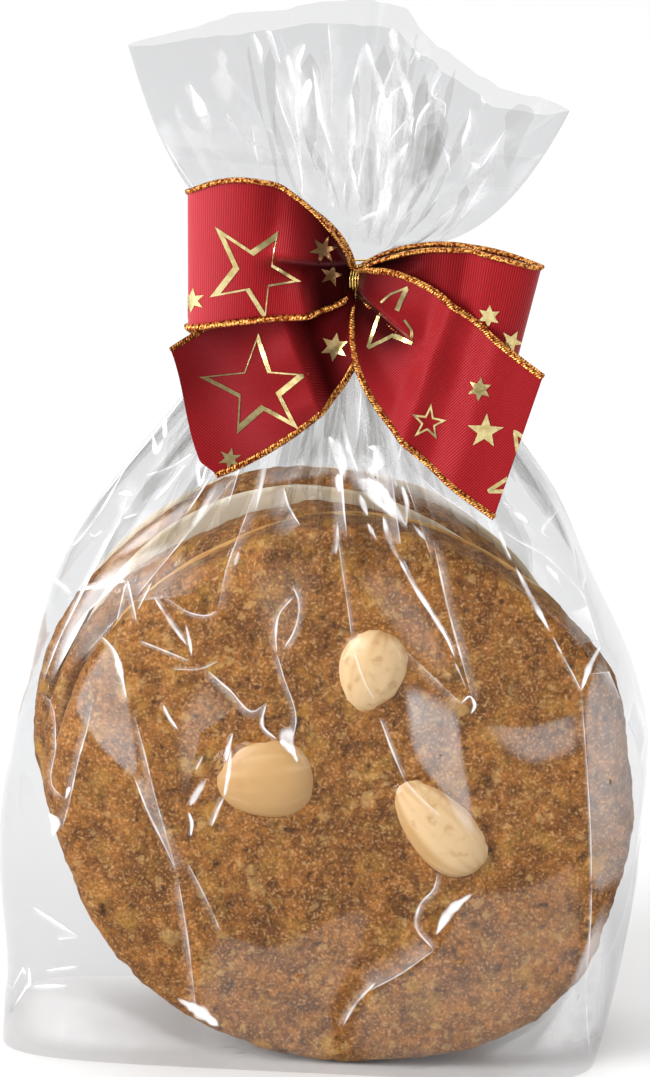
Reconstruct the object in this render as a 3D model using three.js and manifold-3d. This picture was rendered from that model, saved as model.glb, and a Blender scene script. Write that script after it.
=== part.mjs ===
// A clear gift bag of round lebkuchen, standing on its flat base, gathered at the neck, tied with gold
// wire and dressed with a ribbon bow. Millimetres, +Z up, front towards -Y. The origin is the middle of
// the bag's base.
import * as THREE from "three";
import { mergeVertices } from "three/addons/utils/BufferGeometryUtils.js";
import Module from "manifold-3d";

const wasm = await Module();
wasm.setup();

// Bag: sections of the filled part, from the base up to the tie. Each row gives the height, the middle in
// X, the half width, the reach to the front and to the back, and the squareness of the ring, where 2 is an
// ellipse and a higher number is boxier.
const BAG_SECTIONS = [
  [0, -4, 57, 23, 20.5, 5.5],
  [14, -1.9, 58.3, 22.8, 21, 5],
  [30, -1.2, 60, 22.5, 21.5, 5],
  [45, -0.6, 60.7, 22, 21.5, 4.6],
  [58, 1, 59.9, 21.7, 21.4, 4.4],
  [70, 1.5, 57.4, 21.6, 21.3, 4.2],
  [94, -0.2, 49, 21.2, 20.6, 3.6],
  [108, 1.1, 41.8, 19.6, 19, 3],
  [120, 1.8, 33, 16.8, 16.3, 2.7],
  [132, 3, 24, 13, 12.6, 2.4],
  [144, 5, 13.6, 8.8, 8.8, 2.2],
  [151.3, 6.6, 6, 6, 6, 2],
];
const BAG_COLUMNS = 100;
const BAG_ROWS = 30;
const COLUMN_CROWDING = 0.3; // draws the columns towards the wide front and back faces
const BASE_RINGS = 3;

// Neck, where the tie sits
const NECK_X = 6.6;
const NECK_RADIUS = 6;
const NECK_TOP = 155.5;
const TIE_HEIGHT = 153.4;

// Pleats gathered under the tie
const PLEAT_COUNT = 12;
const PLEAT_DEPTH = 0.11; // share of the ring's size
const PLEAT_LOW = 98;
const PLEAT_HIGH = 150;

// Fan of loose film above the tie: how far it spreads, and the height of its ragged top edge along X
const FAN_SPREAD_LEFT = 42.9;
const FAN_SPREAD_RIGHT = 38;
const FAN_FLARE_LEFT = 0.27; // the spread grows as this power of the height, so most of it comes low down
const FAN_FLARE_RIGHT = 0.4;
const FAN_DEPTH_GROWTH = 3.5;
const FAN_ROWS = 9;
const FAN_PLEATS = 9;
const FAN_PLEAT_DEPTH = 0.3; // share of the fan's depth
const FAN_EDGE_X = [-36.3, -13.7, -1.5, 10.8, 14.1, 16.5, 23.4, 31.3, 44.6];
const FAN_EDGE_Z = [191.8, 196.7, 199, 199.1, 198.2, 194.6, 189.4, 184, 181.6];
const MOUTH_RINGS = 3;
const MOUTH_RECESS = 4;

// Front lebkuchen, which shows as a round form under the film: its middle in X, radius, back face, thickness
// and height off the base, how much lower its dome is at the rim, the rim's rounding, and the film's clearance
const LEBKUCHEN_X = 4.8;
const LEBKUCHEN_RADIUS = 53.9;
const LEBKUCHEN_BACK = -8.4;
const LEBKUCHEN_THICKNESS = 13.4;
const LEBKUCHEN_LIFT = 0.2;
const DOME_FALL = 2;
const RIM_ROUND = 4.2;
const RIM_FALL = 3.6;
const RIM_SLACK = 1.5;
const FILM_CLEARANCE = 0.9;
const FILM_SLOPE = 2.5; // how fast the film falls back outside the rim

// Almonds that press the film out at the front: place on the front, half sizes, turn and height
const ALMONDS = [
  { x: -8.7, z: 58.8, halfLong: 9, halfWide: 7.3, turn: 8, height: 3 },
  { x: 11.4, z: 81.3, halfLong: 7.8, halfWide: 6.3, turn: 73, height: 3 },
  { x: 23.8, z: 50.8, halfLong: 11, halfWide: 6.5, turn: -49, height: 3 },
];
const ALMOND_SKIRT = 1.25; // the film leaves the front this far outside the almond

// Bow: the knot's middle, and each limb's two edges as curves in the plane of the front, from the knot out
const KNOT = new THREE.Vector3(7, -12, TIE_HEIGHT);
const KNOT_HALF = [4, 3.3, 3.5];
const RIBBON_THICKNESS = 0.8;
const LOOP_GAP = 9; // between the front and back layer of a loop
const LOOP_ROOT_GAP = 2; // the same at the knot
const LOOP_STEPS = 26;
const TAIL_STEPS = 14;
const RIBBON_CROSS_STEPS = 6;
const GATHER_DEPTH = 1.1;
const GATHER_WAVES = 2;
const LEFT_LOOP = {
  upper: [[-1.4, 1.2], [-4, 11.7], [-15.2, 26.1], [-29.5, 16.4]],
  lower: [[-1.4, -2.9], [-5, -7.7], [-17, -4.7], [-29.6, -8.9]],
  lean: 7,
  drop: 4.6, // how far the back layer hangs lower than the front one
};
const RIGHT_LOOP = {
  upper: [[1.2, 0.8], [7.3, 7.2], [19.6, 10.1], [34.3, 4.2]],
  lower: [[1.2, -2.8], [8.6, -8.5], [17, -15], [28, -22]],
  lean: 6.5,
  drop: 1.7,
};
const LEFT_TAIL = {
  upper: [[-1.4, 0], [-8.7, -2.6], [-22.6, -6.2], [-33.1, -13.8]],
  lower: [[-2, -2.8], [3, -14], [-5.4, -28.7], [-23.7, -35.7]],
  root: 0.5,
  rise: 2.5, // how fast the tail comes forward at the knot
  drape: 0.24, // how far it comes forward for each millimetre that it hangs down
};
const RIGHT_TAIL = {
  upper: [[1.2, 0.9], [11.3, 7.6], [22.6, -6.2], [35.4, -14.7]],
  lower: [[2, -2.8], [-1, -18.5], [12.4, -31], [27, -41]],
  root: 1.5,
  rise: 10,
  drape: 0.06,
};

// Gold wire
const WIRE_RADIUS = 0.6;
const NECK_LOOP_RADIUS = 6.95;
const KNOT_LOOP_RADIUS = 4.8;

const film = new THREE.MeshStandardMaterial({ color: 0xe4e4e6, roughness: 0.1, metalness: 0 });
const satin = new THREE.MeshStandardMaterial({ color: 0x8c1524, roughness: 0.5, metalness: 0 });
const gold = new THREE.MeshStandardMaterial({ color: 0xb98a3c, roughness: 0.3, metalness: 1 });

// Geometry with only positions and shared vertices, which a closed solid needs.
function welded(geometry) {
  geometry.deleteAttribute("normal");
  geometry.deleteAttribute("uv");
  return mergeVertices(geometry, 1e-4);
}

function solidOf(geometry) {
  const mesh = welded(geometry);
  const vertProperties = mesh.attributes.position.array;
  const triVerts = new Uint32Array(mesh.index.array);
  return new wasm.Manifold(new wasm.Mesh({ numProp: 3, vertProperties, triVerts }));
}

function geometryOf(solid) {
  const { vertProperties, triVerts } = solid.getMesh();
  const geometry = new THREE.BufferGeometry();
  geometry.setAttribute("position", new THREE.BufferAttribute(vertProperties, 3));
  geometry.setIndex(new THREE.BufferAttribute(triVerts, 1));
  geometry.computeVertexNormals();
  return geometry;
}

function joined(geometries) {
  const solids = geometries.map(solidOf);
  return geometryOf(solids.reduce((whole, solid) => whole.add(solid)));
}

function namedMesh(name, geometry, material) {
  const mesh = new THREE.Mesh(geometry, material);
  mesh.name = name;
  return mesh;
}

const sectionHeights = BAG_SECTIONS.map(([z]) => z);
const sectionSizes = BAG_SECTIONS.flatMap(([, ...sizes]) => sizes);
const sections = new THREE.CubicInterpolant(sectionHeights, sectionSizes, 5);
const fanEdge = new THREE.LinearInterpolant(FAN_EDGE_X, FAN_EDGE_Z, 1);
const bagTop = sectionHeights.at(-1);

// How far an almond under the film pushes the front out at one place.
function almondPush(x, z) {
  let push = 0;
  for (const almond of ALMONDS) {
    const turn = THREE.MathUtils.degToRad(almond.turn);
    const dx = x - almond.x;
    const dz = z - almond.z;
    const along = (dx * Math.cos(turn) + dz * Math.sin(turn)) / (almond.halfLong * ALMOND_SKIRT);
    const across = (dz * Math.cos(turn) - dx * Math.sin(turn)) / (almond.halfWide * ALMOND_SKIRT);
    const inside = Math.max(0, 1 - along * along - across * across);
    push = Math.max(push, almond.height * Math.sqrt(inside) * Math.min(1, 2 * inside));
  }
  return push;
}

// How far forward the film lies over the front lebkuchen at one place: a clearance before its dome, round its
// rim, and falling back outside it.
function filmOverLebkuchen(x, z) {
  const reach = Math.hypot(x - LEBKUCHEN_X, z - LEBKUCHEN_RADIUS - LEBKUCHEN_LIFT);
  const flat = LEBKUCHEN_RADIUS - RIM_ROUND;
  const dome = LEBKUCHEN_THICKNESS - DOME_FALL * (Math.min(reach, flat) / flat) ** 4;
  const rimShare = THREE.MathUtils.clamp((reach - flat) / (RIM_ROUND + RIM_SLACK), 0, 1);
  const outside = Math.max(0, reach - LEBKUCHEN_RADIUS - RIM_SLACK);
  const rim = RIM_FALL * (1 - Math.sqrt(1 - rimShare ** 2)) + FILM_SLOPE * outside;
  return LEBKUCHEN_BACK - dome + rim - FILM_CLEARANCE;
}

// One point of the filled bag: a boxy ring whose sizes follow the height, pleated under the tie, and at the
// front no further back than the film over the lebkuchen.
function bagPoint(angle, z) {
  const [middle, halfWidth, front, back, squareness] = sections.evaluate(z);
  const across = -Math.cos(angle);
  const depth = -Math.sin(angle);
  const power = Math.abs(across) ** squareness + Math.abs(depth) ** squareness;
  const rise = THREE.MathUtils.clamp((z - PLEAT_LOW) / (PLEAT_HIGH - PLEAT_LOW), 0, 1);
  const pleat = PLEAT_DEPTH * Math.sin(Math.PI * rise ** 1.6) * Math.cos(PLEAT_COUNT * angle);
  const reach = power ** (-1 / squareness) * (1 + pleat);
  const x = middle + halfWidth * across * reach;
  const y = (depth < 0 ? front : back) * depth * reach;
  const ahead = Math.min(y - almondPush(x, z), filmOverLebkuchen(x, z));
  return new THREE.Vector3(x, depth < 0 ? ahead : y, z);
}

// One point of the film fan: a pleated flat tube that flares from the neck to the ragged top edge. The
// share of the way up is rise, and shrink below 1 gives the mouth's floor inside the edge.
function fanPoint(angle, rise, shrink = 1) {
  const across = -Math.cos(angle) * shrink;
  const depth = -Math.sin(angle) * shrink;
  const spread = across < 0 ? FAN_SPREAD_LEFT : FAN_SPREAD_RIGHT;
  const flare = across < 0 ? FAN_FLARE_LEFT : FAN_FLARE_RIGHT;
  const [edge] = fanEdge.evaluate(NECK_X + across * spread);
  const halfWidth = NECK_RADIUS + (spread - NECK_RADIUS) * rise ** flare;
  const pleat = FAN_PLEAT_DEPTH * rise * Math.cos(FAN_PLEATS * Math.PI * across);
  const halfDepth = (NECK_RADIUS + FAN_DEPTH_GROWTH * rise) * (1 + pleat);
  const floor = MOUTH_RECESS * (1 - shrink);
  const z = NECK_TOP + (edge - NECK_TOP) * rise - floor;
  return new THREE.Vector3(NECK_X + across * halfWidth, depth * halfDepth, z);
}

// The bag's rows from the middle of the mouth down to the middle of the base. Each is a function of the
// angle round the bag.
function bagRows() {
  const rows = [];
  for (let i = 0; i < MOUTH_RINGS; i++) {
    rows.push((angle) => fanPoint(angle, 1, i / MOUTH_RINGS));
  }
  for (let i = FAN_ROWS; i >= 0; i--) {
    const rise = (i / FAN_ROWS) ** 2;
    rows.push((angle) => fanPoint(angle, rise));
  }
  for (let i = BAG_ROWS; i >= 0; i--) {
    const z = bagTop * Math.sin((i / BAG_ROWS) * Math.PI * 0.5) ** 0.9;
    rows.push((angle) => bagPoint(angle, z));
  }
  for (let i = BASE_RINGS - 1; i >= 0; i--) {
    const shrink = i / BASE_RINGS;
    rows.push((angle) => {
      const edge = bagPoint(angle, 0);
      return new THREE.Vector3(edge.x * shrink, edge.y * shrink, 0);
    });
  }
  return rows;
}

// The bag as one closed skin: a sphere's grid carried onto the rows.
function bagGeometry() {
  const rows = bagRows();
  const geometry = new THREE.SphereGeometry(1, BAG_COLUMNS, rows.length - 1);
  const position = geometry.attributes.position;
  for (let i = 0; i < position.count; i++) {
    const row = Math.floor(i / (BAG_COLUMNS + 1));
    const column = (i % (BAG_COLUMNS + 1)) % BAG_COLUMNS;
    const even = (column / BAG_COLUMNS) * 2 * Math.PI;
    const point = rows[row](even + COLUMN_CROWDING * Math.sin(2 * even));
    position.setXYZ(i, point.x, point.y, point.z);
  }
  return welded(geometry);
}

function edgeCurve(points) {
  return new THREE.CubicBezierCurve(...points.map(([x, z]) => new THREE.Vector2(x, z)));
}

// A ribbon strip: a thin box carried onto the surface place(along, across), with its thickness on the normal.
function stripGeometry(place, steps) {
  const geometry = new THREE.BoxGeometry(1, 1, 1, steps, RIBBON_CROSS_STEPS, 1);
  const position = geometry.attributes.position;
  const nudge = 1e-3;
  for (let i = 0; i < position.count; i++) {
    const along = position.getX(i) + 0.5;
    const across = position.getY(i) + 0.5;
    const alongStep = place(along + nudge, across).sub(place(along - nudge, across));
    const acrossStep = place(along, across + nudge).sub(place(along, across - nudge));
    const normal = alongStep.cross(acrossStep).normalize();
    const point = place(along, across).addScaledVector(normal, position.getZ(i) * RIBBON_THICKNESS);
    position.setXYZ(i, point.x, point.y, point.z);
  }
  return geometry;
}

// A loop goes out from the knot between its two edges, turns over and comes back behind itself.
function loopGeometry({ upper, lower, lean, drop }) {
  const upperEdge = edgeCurve(upper);
  const lowerEdge = edgeCurve(lower);
  const place = (along, across) => {
    const out = Math.sin(Math.PI * along);
    const flat = lowerEdge.getPoint(out).lerp(upperEdge.getPoint(out), across);
    const swing = Math.sin(2 * Math.PI * along);
    const layer = 0.5 * LOOP_GAP * swing + 0.5 * LOOP_ROOT_GAP * Math.cos(Math.PI * along);
    const fall = drop * Math.max(0, -swing);
    return new THREE.Vector3(flat.x, -lean * out - layer, flat.y - fall).add(KNOT);
  };
  return stripGeometry(place, LOOP_STEPS);
}

// A tail goes out and down from the knot, gathered there and coming forward as it falls.
function tailGeometry({ upper, lower, root, rise, drape }) {
  const upperEdge = edgeCurve(upper);
  const lowerEdge = edgeCurve(lower);
  const place = (along, across) => {
    const flat = lowerEdge.getPoint(along).lerp(upperEdge.getPoint(along), across);
    const wave = Math.cos(2 * Math.PI * GATHER_WAVES * across);
    const gather = GATHER_DEPTH * 4 * along * (1 - along) ** 2 * wave;
    const forward = root + rise * (1 - (1 - along) ** 2) - drape * Math.min(0, flat.y) + gather;
    return new THREE.Vector3(flat.x, -forward, flat.y).add(KNOT);
  };
  return stripGeometry(place, TAIL_STEPS);
}

function bowGeometry() {
  const core = new THREE.SphereGeometry(1, 20, 12);
  core.scale(...KNOT_HALF);
  core.translate(KNOT.x, KNOT.y, KNOT.z);
  const loops = [LEFT_LOOP, RIGHT_LOOP].map(loopGeometry);
  const tails = [LEFT_TAIL, RIGHT_TAIL].map(tailGeometry);
  return joined([core, ...loops, ...tails]);
}

// Two wire loops that meet between the bag and the bow: one round the neck, one round the knot.
function tieGeometry() {
  const neckLoop = new THREE.TorusGeometry(NECK_LOOP_RADIUS, WIRE_RADIUS, 8, 48);
  neckLoop.translate(NECK_X, 0, TIE_HEIGHT);
  const knotLoop = new THREE.TorusGeometry(KNOT_LOOP_RADIUS, WIRE_RADIUS, 8, 36);
  knotLoop.rotateY(Math.PI / 2);
  knotLoop.translate(KNOT.x, KNOT.y, KNOT.z);
  return joined([neckLoop, knotLoop]);
}

const pack = new THREE.Group();
pack.add(namedMesh("bag", bagGeometry(), film));
pack.add(namedMesh("ribbon_bow", bowGeometry(), satin));
pack.add(namedMesh("tie", tieGeometry(), gold));

export default pack;
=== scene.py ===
"""A clear gift bag of round lebkuchen, tied with gold wire and a red ribbon bow.

All shapes are worked out in millimetres and put into metres when a mesh is made.
X runs to the right seen from the front, -Y towards the front, Z up from the floor.
"""

import math

import bpy
import numpy as np
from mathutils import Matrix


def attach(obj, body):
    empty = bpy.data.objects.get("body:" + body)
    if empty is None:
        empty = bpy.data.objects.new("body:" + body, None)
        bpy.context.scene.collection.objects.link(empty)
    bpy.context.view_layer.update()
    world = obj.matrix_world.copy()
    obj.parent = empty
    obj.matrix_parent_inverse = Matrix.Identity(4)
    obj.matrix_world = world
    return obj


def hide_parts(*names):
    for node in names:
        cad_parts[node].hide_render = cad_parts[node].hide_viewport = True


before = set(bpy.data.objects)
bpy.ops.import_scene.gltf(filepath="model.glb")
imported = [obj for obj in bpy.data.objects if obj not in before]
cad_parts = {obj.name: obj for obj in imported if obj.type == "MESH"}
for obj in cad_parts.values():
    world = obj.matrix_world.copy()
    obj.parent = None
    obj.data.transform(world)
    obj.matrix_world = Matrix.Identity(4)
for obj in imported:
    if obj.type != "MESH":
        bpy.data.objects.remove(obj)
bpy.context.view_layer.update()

MM = 0.001

# Camera, in the photograph's own pixels
PHOTO_WIDTH = 650
PHOTO_HEIGHT = 1077
FOCAL_PIXELS = 5709
SENSOR = 36.0
CAMERA_AZIMUTH = 7.0
CAMERA_ELEVATION = 18.0
CAMERA_DISTANCE = 1046.0
CAMERA_TARGET = np.array([2.4, -20.0, 105.2])
CAMERA_CLIP = (0.05, 50)

# Stage in metres. Lights: name, place, aim, width and height, radiance
FLOOR_HALF = 6
FLOOR_HEIGHT = -0.0001
LIGHTS = [
    ("left_box", (-1.05, -0.65, 0.62), (0.0, 0.0, 0.10), (0.60, 0.95), 14.0),
    ("right_box", (1.0, -0.60, 0.60), (0.0, 0.0, 0.09), (0.40, 0.80), 4.8),
    ("top_box", (0.0, 0.9, 1.6), (0.0, 0.5, 0.0), (2.4, 1.8), 2.0),
    ("front_box", (0.1, -0.8, 1.4), (0.0, 0.0, 0.05), (1.2, 0.8), 1.5),
]
WORLD_LIGHT = 0.43
CLEAR_BOUNCES = 32

# Colours
WHITE = (1.0, 1.0, 1.0, 1.0)
FLOOR_COLOUR = (0.72, 0.72, 0.72, 1.0)
FILM_TINT = (0.838, 0.840, 0.845, 1.0)
BASE_TINT = (0.97, 0.97, 0.97, 1.0)
PLEAT_TINT = (0.865, 0.862, 0.855, 1.0)
MIRROR_COLOUR = (0.97, 0.97, 0.98, 1.0)
# Painted highlights and reflections on the film
GLINT_COLOUR = (0.98, 0.98, 0.99, 1.0)
CRUMB_DARK = (0.142, 0.050, 0.009, 1.0)
CRUMB_LIGHT = (0.39, 0.150, 0.028, 1.0)
CRUMB_OCHRE = (0.42, 0.215, 0.038, 1.0)
CRUMB_PALE = (0.66, 0.400, 0.180, 1.0)
# Dark of crumb gaps and specks, also used for painted shade in pits, crevices and on walls
CRUMB_GAP_AND_SHADE = (0.040, 0.016, 0.006, 1.0)
NUT_COLOUR = (0.58, 0.360, 0.130, 1.0)
AMBER_COLOUR = (0.48, 0.250, 0.035, 1.0)
RIM_COLOUR = (0.66, 0.400, 0.115, 1.0)
WAFER_PALE = (0.62, 0.545, 0.425, 1.0)
WAFER_BROWNED = (0.55, 0.43, 0.27, 1.0)
TOASTED_PALE = (0.58, 0.33, 0.10, 1.0)
TOASTED_BROWNED = (0.44, 0.21, 0.055, 1.0)
ALMOND_CREAM = (0.72, 0.49, 0.255, 1.0)
ALMOND_TAN = (0.54, 0.31, 0.115, 1.0)
ALMOND_SPOT = (0.50, 0.28, 0.10, 1.0)
RIBBON_DARK = (0.145, 0.0040, 0.0048, 1.0)
RIBBON_RED = (0.355, 0.0100, 0.0130, 1.0)
# Painted highlight on the ribbon
RIBBON_SHINE = (0.60, 0.080, 0.100, 1.0)
# Painted shade on the ribbon
RIBBON_PAINTED_SHADE = (0.012, 0.0012, 0.0012, 1.0)
RIBBON_GLOSS = (1.0, 0.20, 0.25, 1.0)
RIBBON_SHEEN = (1.0, 0.30, 0.36, 1.0)
# Painted shade on the gold
GOLD_PAINTED_SHADE = (0.10, 0.016, 0.004, 1.0)
BRAID_TONES = [(0.20, 0.026, 0.005, 1.0), (0.92, 0.47, 0.125, 1.0)]
FOIL_TONES = [(0.56, 0.44, 0.18, 1.0), (0.74, 0.62, 0.31, 1.0)]
WIRE_TONES = [(0.70, 0.44, 0.10, 1.0), (0.95, 0.70, 0.25, 1.0)]

# Film's mirror at a slant: power of the facing share, and its strength
SLANT_POWER = 4.5
SLANT_GLOSS = 0.75
# Kinds of socket on the shader node groups
NUMBER_SOCKET = "NodeSocketFloat"
COLOUR_SOCKET = "NodeSocketColor"

# Bag: height, middle, half width, front, back and squareness of its rings
BAG_SECTIONS = np.array([
    [0, -4, 57, 23, 20.5, 5.5],
    [14, -1.9, 58.3, 22.8, 21, 5],
    [30, -1.2, 60, 22.5, 21.5, 5],
    [45, -0.6, 60.7, 22, 21.5, 4.6],
    [58, 1, 59.9, 21.7, 21.4, 4.4],
    [70, 1.5, 57.4, 21.6, 21.3, 4.2],
    [94, -0.2, 49, 21.2, 20.6, 3.6],
    [108, 1.1, 41.8, 19.6, 19, 3],
    [120, 1.8, 33, 16.8, 16.3, 2.7],
    [132, 3, 24, 13, 12.6, 2.4],
    [144, 5, 13.6, 8.8, 8.8, 2.2],
    [151.3, 6.6, 6, 6, 6, 2],
])
SWEEP_STEPS = 4001
FILM_COLUMNS = 560
FRONT_DENSITY = 2.2
BASE_ROWS = 8
BODY_ROWS = 240
NECK_ROWS = 4
FAN_ROWS = 66
LOWER_ROWS = 128
BASE_LIFT = 0.15
NECK_X = 6.6
NECK_RADIUS = 6.0
NECK_LOW = 151.3
NECK_TOP = 155.5
FAN_SPREAD_LEFT = 42.9
FAN_SPREAD_RIGHT = 38.0
FAN_FLARE_LEFT = 0.27
FAN_FLARE_RIGHT = 0.4
FAN_DEPTH_GROWTH = 3.5
FAN_EDGE_X = [-36.3, -13.7, -1.5, 10.8, 14.1, 16.5, 23.4, 31.3, 44.6]
FAN_EDGE_Z = [191.8, 196.7, 199, 199.1, 198.2, 194.6, 189.4, 184, 181.6]
SHOULDER_FOLDS = 26
FAN_FOLDS = 17
WIDEST_HEIGHT = 45.0
BAG_MIDDLE = np.array([2.0, 0.0, 90.0])
BASE_SHARES = (0.02, 0.985)
FAN_ROW_POWER = 1.15

# Seeded folds that run out from the neck: ranges of where they begin and stop along their line, their
# height and the widths of their two sides, and the heights between which they grow and die out
FOLD_SEED = 11
FOLD_ROOT = 4
FOLD_BEND = 3
FAN_FOLD = {
    "begin": (-0.1, 0.25),
    "stop": (0.6, 1.5),
    "height": (1.0, 3.6),
    "narrow": (1.4, 3.0),
    "wide": (5.0, 13.0),
}
SHOULDER_FOLD = {
    "begin": (-0.1, 0.2),
    "stop": (0.55, 1.15),
    "height": (0.5, 2.2),
    "narrow": (1.2, 2.4),
    "wide": (4.0, 9.0),
}
SHOULDER_SHIFT = 6
SHOULDER_REACH = 54
SHOULDER_ENDS = (84, 108)
FAN_FOLD_GROWS = (156, 168)
SHOULDER_FOLD_GROWS = (82, 100)
SHOULDER_FOLD_DIES = (152, 140)

# Slackness all over the film: size and height of its waves, how far it may sink in, and the heights
# between which it grows and dies out
SLACK_SEED = 5
SLACK_SIZE = 16.0
SLACK_HEIGHT = 0.4
SLACK_DEEPEST = -0.1
SLACK_GROWS = (2, 10)
SLACK_DIES = (150, 120)

# Lebkuchen: middle across, radius, back face, thickness, and dents of the rim as angle and half width in
# degrees and depth, which is below zero for a bulge. Rings and columns of their grids
FRONT_BISCUIT = (4.8, 53.9, -8.4, 13.4, [(122, 32, 2.6), (26, 14, -1.5), (317, 27, -2.9), (222, 18, -1.5)])
MIDDLE_BISCUIT = (-1.0, 52.7, 5.8, 12.9, [(118, 22, 2.4), (67, 13, 1.7)])
BACK_BISCUIT = (-4.0, 53.5, 19.4, 12.7, [(128, 20, 0.9), (48, 24, 1.2)])
FRONT_GRID = (190, 480)
STACK_GRID = (110, 360)
BISCUIT_LIFT = 0.2
LOWEST_POINT = 0.3
# Ends of the dome, the rim's rounding and the wall, as shares of the way from front to back
DOME_END = 0.60
RIM_END = 0.76
WALL_END = 0.86
WALL_DRAW = 0.8
DOME_FALL = 2.0
RIM_ROUND = 4.2
RIM_FALL = 3.6
LUMP_SIZE = 17.0
LUMP_HEIGHT = 0.55
KNOB_SIZE = 4.2
KNOB_HEIGHT = 0.34
CRUMB_SIZE = 2.1
CRUMB_HEIGHT = 0.42
PIT_SIZE = 2.2
PIT_DEPTH = 0.9
HIGHEST_CRUMB = 0.8
SMOOTH_BACK_SHARES = (0.88, 0.85)

# Film round the lebkuchen: clearance, slack round the rim, slope outside it, room for a bulge, and behind
# the last one the distances from its rim between which the film comes up to it
FILM_CLEARANCE = 0.9
RIM_SLACK = 1.5
FILM_SLOPE = 2.5
BULGE_ROOM = 1.4
BACK_COVER = (4, 1)
BACK_CLEARANCE = 0.4

# Painted shade in the crevices between the lebkuchen and on their walls
CREVICE = 3.2
CREVICE_HEIGHT = (90, 76)
CREVICE_FAINT = 0.25
CREVICE_SHARES = (0.80, 0.74)
WALL_SHADE = 0.45
WALL_SHADE_SHARES = (0.67, 0.75)
# Golden line on the front lebkuchen's rim: share of the way from front to back, half width on the right and
# on the left, and the angles in degrees between which it shows, over which it fades and where it widens
RIM_LINE = (0.84, 0.008, 0.013)
RIM_LINE_ANGLES = (82, 131)
RIM_LINE_FADE = 6
RIM_LINE_WIDENS = 100
# Wafers: overhang at its widest, and the angle in degrees and half width of that place
FRONT_WAFER = (-2.6, 122, 32)
MIDDLE_WAFER = (2.0, 103, 31)
BACK_WAFER = (-0.6, 92, 46)
WAFER_THICKNESS = 0.7
WAFER_SHY = 1.0
WAFER_GAP = 0.02
WAFER_COLUMNS = 300

# Almonds: middle across and up, half length, half width, turn in degrees
ALMONDS = [(-8.7, 58.2, 9.7, 8.0, 8), (11.2, 80.1, 8.4, 6.6, 73), (23.8, 50.3, 11.3, 6.6, -49)]
ALMOND_TONES = (0.82, 0.25, 0.40)
ALMOND_DEPTH = -20.2
ALMOND_HALF_HEIGHT = 4.2
ALMOND_PUSH = 3.0
ALMOND_SKIRT = 1.25
ALMOND_SEED = 50
ALMOND_ROWS = 60
ALMOND_COLUMNS = 72
ALMOND_TAPER = 0.20
ALMOND_LUMPS = 0.05
ALMOND_GROOVE = 0.003

# Ribbon bow: each limb's two edges as four points of a curve from the knot, across and up. A fold is a
# step in the ribbon across a line: its start and end, lift, half width, reach to both sides and width of
# the darkest painted shade beside it. A ridge has its place along the limb, half width and lift. The braids
# of the lower and upper edge have a size and a painted shade. Lean or rise bring a limb's end to the front,
# drop lowers a loop's back layer, dent is the place of a dent along it, root sets a tail off the knot, drape
# brings it forward as it hangs and bulge widens its end. Dim paints shade over a whole limb, near is how far
# the knot's painted shade reaches along it, cover is the painted shadow of the loop above, shine paints a
# highlight on its end and slant leans its ribs
KNOT = np.array([7.0, -12.0, 153.4])
KNOT_HALF = (2.0, 2.3, 2.2)
KNOT_DROP = 0.9
KNOT_SWELL = 2.0
# Painted shade on the knot and on the limbs near it, and the share out from the knot within which it is full
KNOT_SHADE = 0.93
KNOT_SHADE_CORE = 0.25
KNOT_ROWS = 38
KNOT_COLUMNS = 72
# Strength of the painted shade beside a fold
FOLD_SHADE = 0.88
RIBBON_THICKNESS = 0.35
LOOP_GAP = 9.0
LOOP_ROOT_GAP = 2.0
GATHER_DEPTH = 0.8
GATHER_WAVES = 2
LEFT_LOOP = {
    "upper": [(-0.5, 1.2), (-1.6, 11.7), (-15.2, 26.1), (-29.5, 16.4)],
    "lower": [(-0.5, -2.9), (-4.3, -7.7), (-17.0, -4.7), (-29.6, -8.9)],
    "lean": 7.0,
    "drop": 4.6,
    "dim": 0.0,
    "folds": [((-16.5, 5.0), (-1.0, 3.4), 5.0, 1.6, 5.0, 0), ((-8.4, 3.4), (-6.6, -6.4), -3.2, 1.5, 4.5, 0)],
    "dent": 0.60,
    "near": (0.85, 0.40),
    "shine": 0.38,
    "slant": 0.0,
    "braids": [(1.35, 0.0), (1.0, 0.15)],
}
RIGHT_LOOP = {
    "upper": [(0.5, 0.8), (7.3, 7.2), (19.6, 10.1), (34.3, 4.2)],
    "lower": [(0.5, -2.8), (8.6, -8.5), (17, -15), (28, -22)],
    "lean": 6.5,
    "drop": 1.7,
    "dim": 0.04,
    "folds": [((14, 4.6), (1.5, 1.6), 2.4, 1.2, 5.0, 0)],
    "dent": 0.69,
    "near": (0.85, 0.75),
    "shine": 0.0,
    "slant": 0.0,
    "braids": [(1.0, 0.2), (1.0, 0.2)],
}
LEFT_TAIL = {
    "upper": [(-0.5, 0), (-8.7, -2.6), (-22.6, -6.2), (-33.1, -13.8)],
    "lower": [(0, -2.8), (7.0, -12.5), (-5.4, -28.7), (-23.7, -35.7)],
    "dim": 0.36,
    "near": 0.39,
    "cover": 0.50,
    "root": 0.5,
    "rise": 2.5,
    "drape": 0.24,
    "bulge": 2.5,
    "shine": 0.20,
    "slant": 0.45,
    "braids": [(0.95, 0.30), (0.85, 0.72)],
    "folds": [((-14.6, 1.5), (-5.0, -20.5), -5.6, 1.5, 9.0, 0)],
    "ridges": [(0.50, 0.10, 0.9), (0.80, 0.10, -0.5)],
}
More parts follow.
